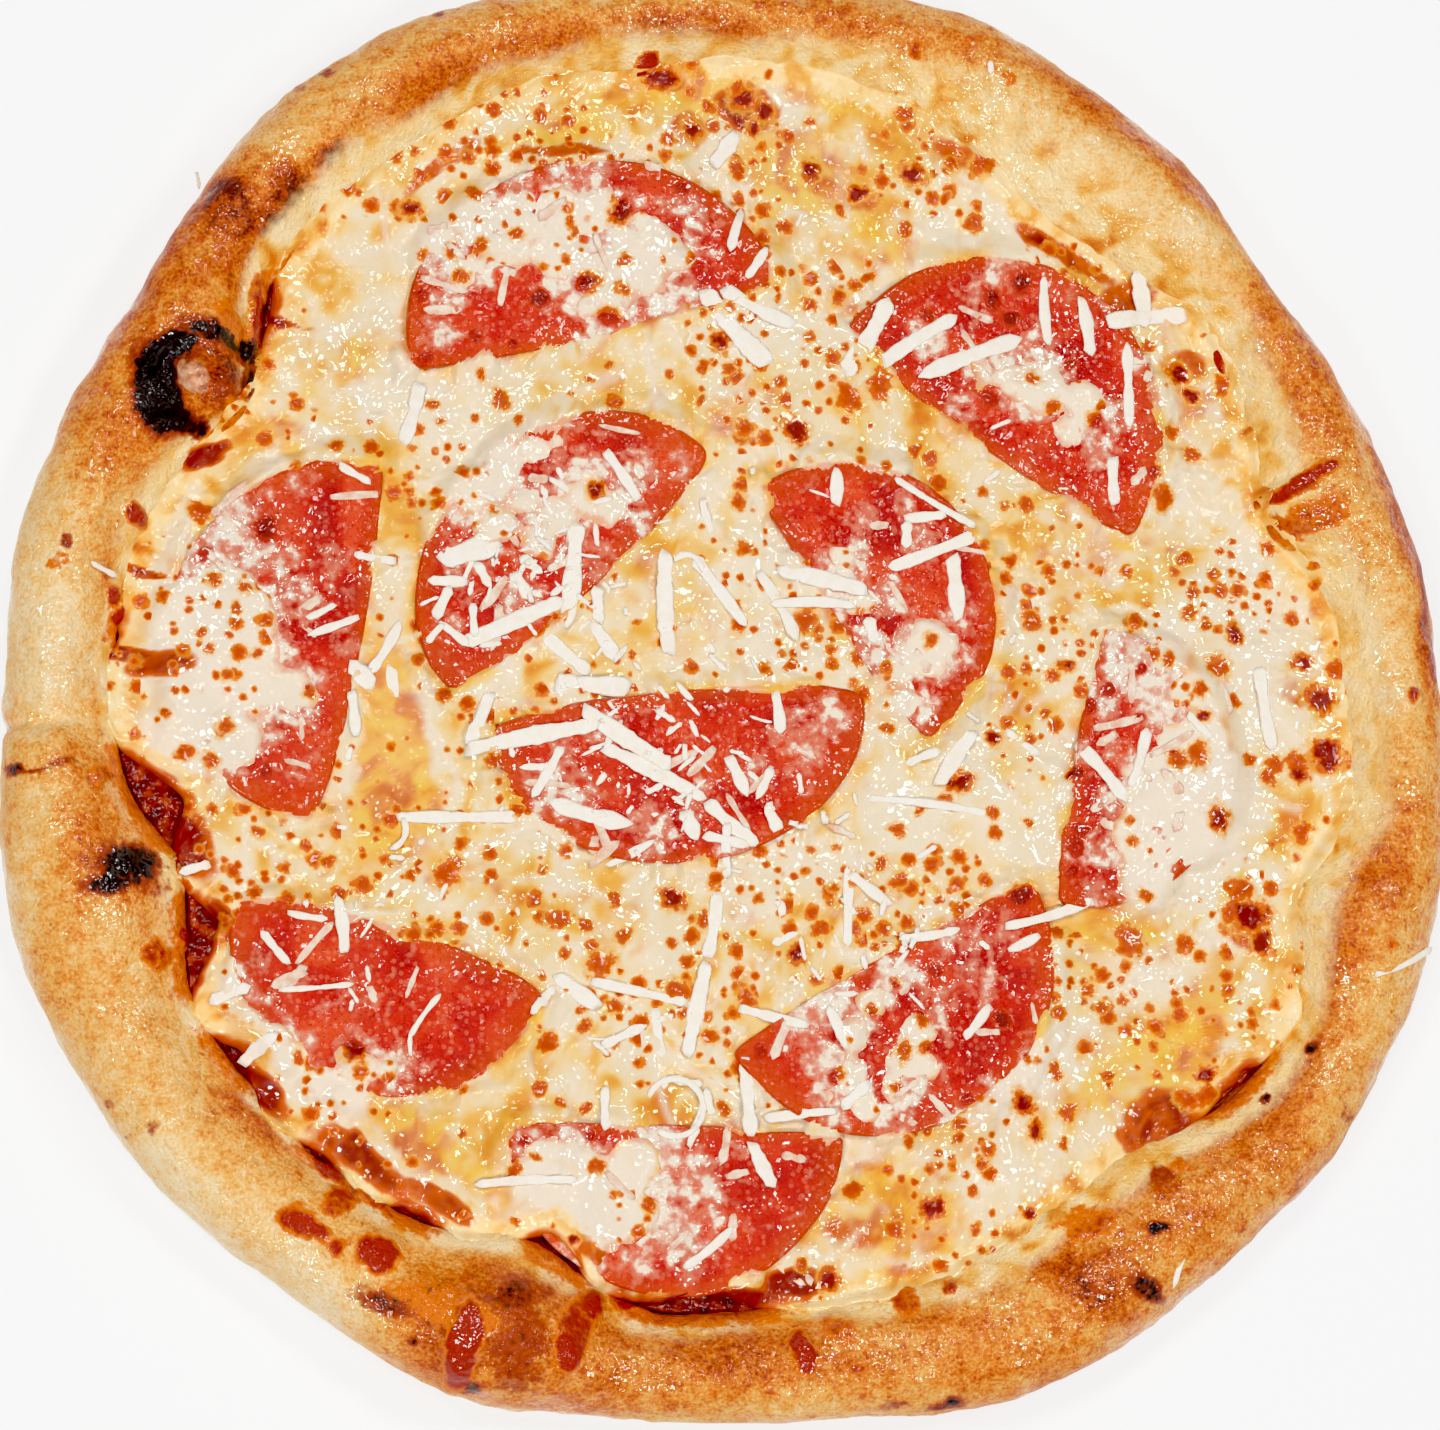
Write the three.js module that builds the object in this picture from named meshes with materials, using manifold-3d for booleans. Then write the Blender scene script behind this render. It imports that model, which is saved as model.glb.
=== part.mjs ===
// A round pizza with a puffed rim: bread base, sauce, melted cheese, and ten halved slices of pepperoni sausage
// with grated hard cheese on top. Millimetres, +Z up, origin under the middle on the plane that it rests on.
// Bearings are degrees from +X towards +Y.
import * as THREE from 'three';
import { mergeVertices } from 'three/addons/utils/BufferGeometryUtils.js';
import Module from 'manifold-3d';

const wasm = await Module();
wasm.setup();

// ---- driving dimensions ----
const GAP = 0.3;                  // between pieces that touch
const BASE_THICKNESS = 4.5;       // bread under the sauce
const SAUCE_THICKNESS = 1.2;
const CHEESE_TOP = 9;             // mean height of the cheese above the table
const CHEESE_WAVE = 0.5;          // how far its surface rises and falls
const CHEESE_RINGS = 11;
const CHEESE_STEPS = 72;
const SLICE_THICKNESS = 2.3;
const SLICE_SINK = 0.9;           // how deep a slice lies in the cheese
const SLICE_CUP = 0.6;            // its round edge curls up by this much
const COVER_ABOVE_SLICE = 0.7;    // cheese that has run over a slice
const SHRED_THICKNESS = 1.5;
const SHRED_SINK = 0.5;

// Every ten degrees: the outer edge of the rim, its inner edge, and the height of its crest.
const OUTER = [
  152, 151, 149, 148, 147, 151, 152, 155, 154, 152.5, 153, 155.5,
  157, 156, 152, 150, 151.5, 152.5, 152, 155, 158.5, 159, 159, 157,
  158, 158, 153.5, 152.5, 154.5, 158, 158.5, 158, 158.5, 159, 158, 155,
];
const INNER = [
  129, 127.5, 119.5, 125.5, 127.5, 122, 122, 128.5, 131.5, 133, 133, 134,
  132, 131, 129, 118.5, 123.5, 127.5, 130, 129, 122.5, 131, 131.5, 131.5,
  129.5, 124, 130.5, 130.5, 128.5, 128.5, 126, 125.5, 134, 135.5, 126, 131,
];
const CREST = [
  18, 18.5, 20, 18.5, 17, 18, 18.5, 17.5, 17, 16.5, 17, 17.5,
  18, 18, 18.5, 20.5, 18.5, 17.5, 17, 20.5, 21, 18.5, 18.5, 18.5,
  19.5, 21.5, 18.5, 17, 18, 19, 19.5, 19, 17.5, 17, 19.5, 18,
];

// The rim's section. Across runs from 1 at the inner edge to 2 at the outer edge, up from 0 to 1 at the crest.
const RIM_SECTION = [
  [1.82, 0], [1.93, 0.05], [1.985, 0.18], [2, 0.37], [1.98, 0.57], [1.92, 0.75], [1.82, 0.89], [1.7, 0.97],
  [1.58, 1], [1.45, 0.96], [1.33, 0.87], [1.22, 0.76], [1.12, 0.65], [1.04, 0.54], [1, 0.42], [1.015, 0.3],
];
const RIM_STEPS = 120;

// Swellings and hollows of the rim: bearing, half-width in degrees, across, half-width across, rise.
const SWELLINGS = [
  [149, 5, 1.3, 0.28, 2.5], [148, 2, 1.42, 0.14, -4], [195, 6, 1.35, 0.3, 1.5], [184.5, 2, 1.6, 0.5, -2],
  [249, 5, 1.5, 0.4, 1.5], [216, 6, 1.7, 0.25, 1.2], [232, 4, 1.3, 0.2, 1.5], [21, 3, 1.2, 0.2, 1.5],
  [60, 7, 1.6, 0.3, 1], [122, 8, 1.6, 0.3, 1], [283, 5, 1.3, 0.2, 1.2], [307, 6, 1.6, 0.3, 1],
  [338, 5, 1.25, 0.25, 1.5], [355, 6, 1.5, 0.3, 1], [165, 5, 1.6, 0.3, 1.2], [92, 6, 1.5, 0.3, 0.8],
];

// How far the cheese's edge stays back from the rim: bearing, half-width in degrees, distance.
const CHEESE_LEAST_GAP = 0.8;
const CHEESE_BAYS = [
  [176, 3, 4], [192, 5, 9], [206, 4, 8], [217, 4, 4], [229, 4, 3], [238, 4, 3],
  [252, 4, 4], [266, 8, 5], [30, 4, 3], [322, 6, 4], [60, 4, 3], [143, 5, 4],
];

// Halved slices: middle of the cut edge (x, y), half its length, depth on the round side, how far the cut edge
// bows out on the other side, and the cut edge's bearing. The round side lies to the left of that bearing.
const HALVES = [
  { x: -31.5, y: 76, half: 40, depth: 35, bow: 3, bearing: 15 },
  { x: 53.5, y: 55.5, half: 37.5, depth: 38.5, bow: 3.5, bearing: -35 },
  { x: -83.5, y: 7, half: 38.5, depth: 36, bow: 4, bearing: 80 },
  { x: -34.5, y: 23.5, half: 37.5, depth: 30, bow: 5, bearing: 44 },
  { x: 22, y: 16, half: 32, depth: 32.5, bow: 3, bearing: -56 },
  { x: -13.5, y: -7, half: 39.5, depth: 31, bow: 5.5, bearing: 187 },
  { x: 73, y: -15.5, half: 30, depth: 31.5, bow: 2, bearing: 259 },
  { x: 30, y: -59, half: 36.5, depth: 34.5, bow: 2.5, bearing: 210 },
  { x: -14, y: -93, half: 35, depth: 34, bow: 1, bearing: 178 },
  { x: -73, y: -57, half: 33, depth: 29.5, bow: 5.5, bearing: 163 },
];
const HALF_STEPS = 30;            // half of them on the round side

// Cheese that has run over a slice: x, y, bearing of the long axis, half-length, half-width.
const COVERS = [
  [-29, 94, 5, 27, 12], [-62, 91, 40, 12, 9], [68, 62, -38, 17, 10], [31, 80, 30, 12, 9],
  [-105, 9, 85, 22, 15], [-88, -1, 35, 14, 6], [-27, 47, 10, 9, 7], [-49, 31, 50, 12, 7],
  [40, 13, 30, 9, 8], [88, -22, 80, 26, 12], [39, -70, 70, 13, 10], [24, -59, 60, 12, 7],
  [-29, -102, 95, 22, 15], [-78, -75, 15, 13, 8],
];

// Grated shreds: x, y, bearing, length, width. Those that cross a slice's edge are in both lists.
const SHREDS_ON_CHEESE = [
  [-4, 115, 55, 10, 3], [87, 80, 93, 10, 3.4], [-69, 56, 76, 15, 2.7], [-1, 76, 133, 22, 3.6],
  [3, 80, 156, 18, 2.7], [27, 75, 60, 20, 3.6], [38, 75, 33, 20, 2.7], [-5, 20, 128, 19, 2.3],
  [-16, 17, 92, 23, 3.1], [8, 17, 120, 18, 2.2], [-30, 16, 96, 8, 2.3], [-29, 9, 125, 11, 2.9],
  [-75, 6, 61, 14, 2], [-37, 6, 142, 13, 2.7], [-79, 0, 138, 8, 3.4], [-32, -1, 180, 17, 3.6],
  [113, -2, 99, 19, 2.3], [-55, -8, 67, 13, 2.5], [39, -24, 174, 27, 2], [27, -43, 142, 12, 2.1],
  [23, -46, 88, 18, 2], [-6, -50, 82, 15, 2.5], [-22, -64, 168, 22, 2.2], [-34, -65, 145, 13, 2.9],
  [-9, -68, 78, 21, 2.9], [-17, -73, 98, 12, 2], [-24, -73, 26, 12, 2], [15, 18, 180, 19, 2],
  [17, 22, 168, 20, 3.1], [45, -14, 56, 15, 3.1], [-59, -29, 1, 26, 2.1], [6, -70, 166, 16, 2],
  [1, -86, 94, 17, 2.5], [65, -48, 17, 21, 2], [85, 81.5, 8, 13, 3.1], [-48, 12, 25, 24, 3.1],
  [-97, -75.5, 43, 8, 2.5], [-45, -103, 3, 22, 2], [-44, -12, 12, 29, 3.1],
];
const SHREDS_ON_SLICES = [
  [49, 71, 22, 26, 3.1], [65, 82, 93, 16, 2], [75, 79, 100, 14, 2.5], [84, 67, 91, 20, 2], [38, 75, 33, 20, 2.7],
  [-82, 42, 152, 9, 2], [-88, 13, 28, 8, 2], [-86, 10, 21, 12, 2], [-36, 22, 85, 23, 3.4], [-48, 12, 25, 24, 3.1],
  [-25, 44, 125, 13, 2], [-57, 26, 18, 14, 4.2], [-62, 20, 179, 10, 2.1], [-63, 16, 65, 9, 2.1],
  [-56, 12, 93, 8, 2], [-61, 9, 143, 9, 2], [40, 29, 22, 21, 2.3], [20, 42, 90, 9, 2.5], [39, 36, 7, 10, 2],
  [46, 21, 95, 15, 2.7], [8, -6, 98, 10, 2.1], [-24, -12, 148, 23, 3.1], [-44, -12, 12, 29, 3.1],
  [-19, -19, 154, 25, 2.9], [-1, -20, 116, 11, 2.3], [-41, -20, 61, 14, 2], [-32, -28, 165, 20, 3.1],
  [7, -29, 118, 9, 2.3], [-2, -29, 139, 15, 2.5], [-11, -30, 113, 8, 2.9], [-3, -33, 168, 11, 2],
  [77, -17, 131, 18, 2.5], [65, -48, 17, 21, 2], [59, -53, 27, 9, 2], [49, -70, 53, 10, 2],
  [4, -100, 116, 11, 2.7], [-7, -117, 40, 15, 2], [-83, -51, 99, 13, 2.3], [-97, -56, 130, 10, 2],
  [-88, -65, 5, 17, 2],
];
const SHREDS_ON_RIM = [[70, 118, 89, 8, 1.8], [132, -53, 25, 11, 2], [86, -112, 75, 10, 2]];

// ---- shapes ----
const radians = THREE.MathUtils.degToRad;
const bearingOf = (x, y) => THREE.MathUtils.euclideanModulo(THREE.MathUtils.radToDeg(Math.atan2(y, x)), 360);

// A smooth closed curve through values that are evenly spaced round the pizza.
function around(values, bearing) {
  const place = THREE.MathUtils.euclideanModulo(bearing, 360) / 360 * values.length;
  const first = Math.floor(place);
  const t = place - first;
  const [a, b, c, d] = [-1, 0, 1, 2].map((step) => values[(first + step + values.length) % values.length]);
  return b + 0.5 * t * (c - a + t * (2 * a - 5 * b + 4 * c - d + t * (3 * (b - c) + d - a)));
}

// A bump of height 1 that falls off round a middle bearing.
function bearingBump(bearing, middle, halfWidth) {
  const away = THREE.MathUtils.euclideanModulo(bearing - middle + 180, 360) - 180;
  return Math.exp(-((away / halfWidth) ** 2));
}

function toSolid(geometry) {
  geometry.deleteAttribute('normal');
  geometry.deleteAttribute('uv');
  const merged = mergeVertices(geometry, 1e-4);
  const vertProperties = new Float32Array(merged.attributes.position.array);
  const triVerts = new Uint32Array(merged.index.array);
  return new wasm.Manifold(new wasm.Mesh({ numProp: 3, vertProperties, triVerts }));
}

function toGeometry(solid) {
  const { vertProperties, triVerts } = solid.getMesh();
  const geometry = new THREE.BufferGeometry();
  geometry.setAttribute('position', new THREE.BufferAttribute(vertProperties, 3));
  geometry.setIndex(new THREE.BufferAttribute(triVerts, 1));
  geometry.computeVertexNormals();
  return geometry;
}

// The body of largest volume: cutting leaves loose scraps beside it.
function largestBody(solid) {
  return solid.decompose().sort((one, other) => other.volume() - one.volume())[0];
}

// A turned profile whose points (radius, height) are then moved by place(radius, height, bearing).
function turned(profile, steps, place) {
  const points = profile.map(([radius, height]) => new THREE.Vector2(radius, height));
  const geometry = new THREE.LatheGeometry(points, steps).rotateX(Math.PI / 2);
  const position = geometry.attributes.position;
  for (let i = 0; i < position.count; i += 1) {
    const [x, y, height] = [position.getX(i), position.getY(i), position.getZ(i)];
    const bearing = bearingOf(x, y);
    const [radius, up] = place(Math.hypot(x, y), height, bearing);
    position.setXYZ(i, radius * Math.cos(radians(bearing)), radius * Math.sin(radians(bearing)), up);
  }
  return geometry;
}

// A flat slab: its edge at edge(bearing), its underside level, its top at top(x, y).
function slab(edge, bottom, top, rings, steps) {
  const parts = Array.from({ length: rings + 1 }, (_, ring) => ring / rings);
  const profile = [[0, 0], [1, 0], ...parts.toReversed().map((part) => [part, 1])];
  return turned(profile, steps, (part, side, bearing) => {
    const radius = part * edge(bearing);
    const [x, y] = [radius * Math.cos(radians(bearing)), radius * Math.sin(radians(bearing))];
    return [radius, side > 0.5 ? top(x, y) : bottom];
  });
}

// ---- crust: base and rim in one piece of bread ----
function crust() {
  const floor = BASE_THICKNESS / CREST[0];
  const profile = [[0, 0], ...RIM_SECTION, [1.03, floor], [0.6, floor], [0, floor]];
  return turned(profile, RIM_STEPS, (across, up, bearing) => {
    const inner = around(INNER, bearing);
    const outer = around(OUTER, bearing);
    const radius = across > 1 ? inner + (across - 1) * (outer - inner) : across * inner;
    if (up === floor || up === 0) {
      return [radius, up === 0 ? 0 : BASE_THICKNESS];
    }
    const swelling = SWELLINGS.reduce((sum, [middle, halfWidth, place, spread, rise]) => (
      sum + rise * bearingBump(bearing, middle, halfWidth) * Math.exp(-(((across - place) / spread) ** 2))
    ), 0);
    return [radius, up * around(CREST, bearing) + swelling * THREE.MathUtils.smoothstep(up, 0.3, 0.9)];
  });
}

// ---- sauce and cheese ----
function sauce() {
  const bottom = BASE_THICKNESS + GAP;
  return slab((bearing) => around(INNER, bearing) - GAP, bottom, () => bottom + SAUCE_THICKNESS, 1, 72);
}

function cheeseEdge(bearing) {
  const bay = CHEESE_BAYS.reduce((deepest, [middle, halfWidth, depth]) => (
    Math.max(deepest, depth * bearingBump(bearing, middle, halfWidth))
  ), 0);
  const narrowest = Math.min(...[-3, 0, 3].map((aside) => around(INNER, bearing + aside)));
  return narrowest - CHEESE_LEAST_GAP - bay;
}

const SLICE_BOTTOM = CHEESE_TOP - SLICE_SINK;
const COVER_TOP = SLICE_BOTTOM + SLICE_THICKNESS + SLICE_CUP + GAP + COVER_ABOVE_SLICE;

// 1 well inside a patch of cheese that covers a slice, 0 outside.
function coverAt(x, y) {
  return COVERS.reduce((most, [middleX, middleY, bearing, halfLength, halfWidth]) => {
    const turn = radians(bearing);
    const along = (x - middleX) * Math.cos(turn) + (y - middleY) * Math.sin(turn);
    const beside = (y - middleY) * Math.cos(turn) - (x - middleX) * Math.sin(turn);
    const out = Math.hypot(along / halfLength, beside / halfWidth);
    return Math.max(most, 1 - THREE.MathUtils.smoothstep(out, 0.8, 1.25));
  }, 0);
}

function cheeseTop(x, y) {
  const wave = Math.sin(x / 9 + 1.3 * Math.sin(y / 14)) * Math.cos(y / 11 + 0.8 * Math.sin(x / 17));
  const plain = CHEESE_TOP + CHEESE_WAVE * wave;
  const fall = 1 - THREE.MathUtils.smoothstep(Math.hypot(x, y), cheeseEdge(bearingOf(x, y)) - 7, 132);
  const level = BASE_THICKNESS + SAUCE_THICKNESS + 2 * GAP + 1;
  return level + (plain - level) * Math.max(fall, 0.35) + (COVER_TOP - plain) * coverAt(x, y);
}

// ---- halved slices, in their own frame: the cut edge along X, the round side towards +Y ----
const SLICE_SECTION = [
  [0, 0], [0.985, 0], [1, 0.5], [1, SLICE_THICKNESS - 0.5], [0.985, SLICE_THICKNESS], [0, SLICE_THICKNESS],
];
const ROOM_SECTION = [[0, -GAP], [1, -GAP], [1, SLICE_THICKNESS + GAP], [0, SLICE_THICKNESS + GAP]];
const COLUMN_SECTION = [[0, -20], [1, -20], [1, 20], [0, 20]];

function halfSolid(section, spec, grown) {
  const disc = turned(section, HALF_STEPS, (part, up) => [part, up + SLICE_CUP * part ** 3]);
  const position = disc.attributes.position;
  for (let i = 0; i < position.count; i += 1) {
    const reach = position.getY(i) > 0 ? spec.depth : spec.bow;
    position.setX(i, position.getX(i) * (spec.half + grown));
    position.setY(i, position.getY(i) * (reach + grown));
  }
  return toSolid(disc);
}

const placeOf = (spec) => new THREE.Matrix4().makeRotationZ(radians(spec.bearing)).setPosition(spec.x, spec.y, SLICE_BOTTOM);

// ---- grated shreds ----
function shred([x, y, bearing, length, width], bottom, grown = 0) {
  const size = [length + 2 * grown, width + 2 * grown, SHRED_THICKNESS + SHRED_SINK + 2 * grown];
  const strip = new THREE.BoxGeometry(...size);
  const taper = 0.8;
  const position = strip.attributes.position;
  for (let i = 0; i < position.count; i += 1) {
    if (position.getX(i) > 0) {
      position.setY(i, position.getY(i) * taper);
    }
  }
  return strip.rotateZ(radians(bearing)).translate(x, y, bottom - SHRED_SINK + size[2] / 2 - grown);
}

const sum = (solids) => solids.reduce((all, next) => all.add(next));

// A half slice with its shreds, as its section gives it: the slice itself, or the larger room that it needs.
function pepperoniHalf(spec, section, grown) {
  const toLocal = placeOf(spec).invert();
  const top = SLICE_BOTTOM + SLICE_THICKNESS;
  const column = halfSolid(COLUMN_SECTION, spec, grown);
  return SHREDS_ON_SLICES
    .filter(([x, y]) => Math.hypot(x - spec.x, y - spec.y) < spec.half + 20 && coverAt(x, y) < 0.5)
    .map((row) => toSolid(shred(row, top, grown).applyMatrix4(toLocal)).intersect(column))
    .filter((strip) => !strip.isEmpty())
    .reduce((solid, strip) => solid.add(strip), halfSolid(section, spec, grown));
}

// ---- the scene graph ----
const pizza = new THREE.Group();

function addPiece(name, geometry, colour, roughness) {
  const material = new THREE.MeshStandardMaterial({ color: colour, roughness, metalness: 0 });
  const mesh = new THREE.Mesh(geometry, material);
  mesh.name = name;
  pizza.add(mesh);
  return mesh;
}

const rimShreds = SHREDS_ON_RIM.map((row) => {
  const bearing = bearingOf(row[0], row[1]);
  return toSolid(shred(row, around(CREST, bearing) - 0.3));
});
addPiece('crust', toGeometry(sum([toSolid(crust()), ...rimShreds])), 0xdda765, 0.75);
addPiece('sauce', toGeometry(toSolid(sauce())), 0xa12a10, 0.35);

HALVES.forEach((spec, i) => {
  const name = `pepperoni_half_${String(i + 1).padStart(2, '0')}`;
  const solid = largestBody(pepperoniHalf(spec, SLICE_SECTION, 0));
  const mesh = addPiece(name, toGeometry(solid), 0xd4472f, 0.4);
  mesh.position.set(spec.x, spec.y, SLICE_BOTTOM);
  mesh.rotation.z = radians(spec.bearing);
});

const inPlace = (solid, spec) => toSolid(toGeometry(solid).applyMatrix4(placeOf(spec)));
const rooms = sum(HALVES.map((spec) => inPlace(pepperoniHalf(spec, ROOM_SECTION, GAP), spec)));
const columns = sum(HALVES.map((spec) => inPlace(halfSolid(COLUMN_SECTION, spec, GAP), spec)));
const cheeseShreds = sum(SHREDS_ON_CHEESE.map((row) => toSolid(shred(row, cheeseTop(row[0], row[1])))));
const cheeseBottom = BASE_THICKNESS + SAUCE_THICKNESS + 2 * GAP;
const cheeseBody = toSolid(slab(cheeseEdge, cheeseBottom, cheeseTop, CHEESE_RINGS, CHEESE_STEPS));
const cheese = cheeseBody.add(cheeseShreds.subtract(columns)).subtract(rooms);
addPiece('cheese', toGeometry(largestBody(cheese)), 0xf0deb2, 0.4);

// The origin goes under the middle of the whole.
const middle = new THREE.Box3().setFromObject(pizza, true).getCenter(new THREE.Vector3());
pizza.position.set(-middle.x, -middle.y, 0);

export default pizza;
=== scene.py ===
"""A round pizza: puffed, partly charred rim, melted cheese, halved slices of sausage and grated cheese."""

import bpy
import numpy as np
from mathutils import Matrix, Vector


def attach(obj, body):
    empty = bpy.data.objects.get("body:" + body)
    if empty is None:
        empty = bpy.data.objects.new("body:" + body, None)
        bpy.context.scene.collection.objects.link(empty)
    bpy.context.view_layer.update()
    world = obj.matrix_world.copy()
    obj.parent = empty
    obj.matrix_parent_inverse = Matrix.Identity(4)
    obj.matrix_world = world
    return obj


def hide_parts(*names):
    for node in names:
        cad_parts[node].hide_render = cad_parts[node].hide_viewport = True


MM = 0.001

# ---- the form, in millimetres and degrees as in the part's source ----
BASE_THICKNESS = 4.5
SAUCE_BOTTOM = 4.8
SAUCE_TOP = 6.0
CHEESE_BOTTOM = 6.3
CHEESE_TOP = 9.1
CHEESE_WAVE = 0.5
SLICE_BOTTOM = 8.1
SLICE_THICKNESS = 2.3
SLICE_CUP = 0.6

# every ten degrees: the rim's outer edge, its inner edge and the height of its crest
OUTER = [
    152, 151, 149, 148, 147, 151, 152, 155, 154, 152.5, 153, 155.5,
    157, 156, 152, 150, 151.5, 152.5, 152, 155, 158.5, 159, 159, 157,
    158, 158, 153.5, 152.5, 154.5, 158, 158.5, 158, 158.5, 159, 158, 155,
]
INNER = [
    129, 127.5, 119.5, 125.5, 127.5, 122, 122, 128.5, 131.5, 133, 133, 134,
    132, 131, 129, 118.5, 123.5, 127.5, 130, 129, 122.5, 131, 131.5, 131.5,
    129.5, 124, 130.5, 130.5, 128.5, 128.5, 126, 125.5, 134, 135.5, 126, 131,
]
CREST = [
    18, 18.5, 20, 18.5, 17, 18, 18.5, 17.5, 17, 16.5, 17, 17.5,
    18, 18, 18.5, 20.5, 18.5, 17.5, 17, 20.5, 21, 18.5, 18.5, 18.5,
    19.5, 21.5, 18.5, 17, 18, 19, 19.5, 19, 17.5, 17, 19.5, 18,
]

# the rim's section: across runs from 1 at the inner edge to 2 at the outer edge, up from 0 to 1 at the crest
RIM_SECTION = [
    (1.82, 0), (1.93, 0.05), (1.985, 0.18), (2, 0.37), (1.98, 0.57), (1.92, 0.75), (1.82, 0.89), (1.7, 0.97),
    (1.58, 1), (1.45, 0.96), (1.33, 0.87), (1.22, 0.76), (1.12, 0.65), (1.04, 0.54), (1, 0.42), (1.015, 0.3),
]

# swellings and hollows of the rim: bearing, half-width in degrees, across, half-width across, rise
SWELLINGS = [
    (149, 5, 1.3, 0.28, 2.5), (195, 6, 1.35, 0.3, 1.5), (184.5, 2, 1.6, 0.5, -2),
    (249, 5, 1.5, 0.4, 1.5), (216, 6, 1.7, 0.25, 1.2), (232, 4, 1.3, 0.2, 1.5), (21, 3, 1.2, 0.2, 1.5),
    (60, 7, 1.6, 0.3, 1), (122, 8, 1.6, 0.3, 1), (283, 5, 1.3, 0.2, 1.2), (307, 6, 1.6, 0.3, 1),
    (338, 5, 1.25, 0.25, 1.5), (355, 6, 1.5, 0.3, 1), (165, 5, 1.6, 0.3, 1.2), (92, 6, 1.5, 0.3, 0.8),
]

# where the cheese stays back from the rim: bearing, half-width in degrees, distance
CHEESE_BAYS = [
    (176, 3, 2.5), (192, 4.5, 8), (206, 4, 7), (217, 4, 4), (229, 4, 3), (238, 4, 3),
    (252, 4, 4), (266, 8, 5), (30, 4, 1), (322, 6, 3), (60, 4, 1), (143, 5, 3.5),
]

# halved slices: middle of the cut edge, half its length, depth on the round side, how far the cut edge bows
# out, bearing of the cut edge (round side to its left)
HALVES = [
    (-31.5, 76, 40, 35, 3, 15), (53.5, 55.5, 37.5, 38.5, 3.5, -35), (-83.5, 7, 38.5, 36, 4, 80),
    (-34.5, 23.5, 37.5, 30, 5, 44), (22, 16, 32, 32.5, 3, -56), (-13.5, -7, 39.5, 31, 5.5, 187),
    (73, -15.5, 30, 31.5, 2, 259), (30, -59, 36.5, 34.5, 2.5, 210), (-14, -93, 35, 34, 1, 178),
    (-73, -57, 33, 29.5, 5.5, 163),
]

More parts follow.
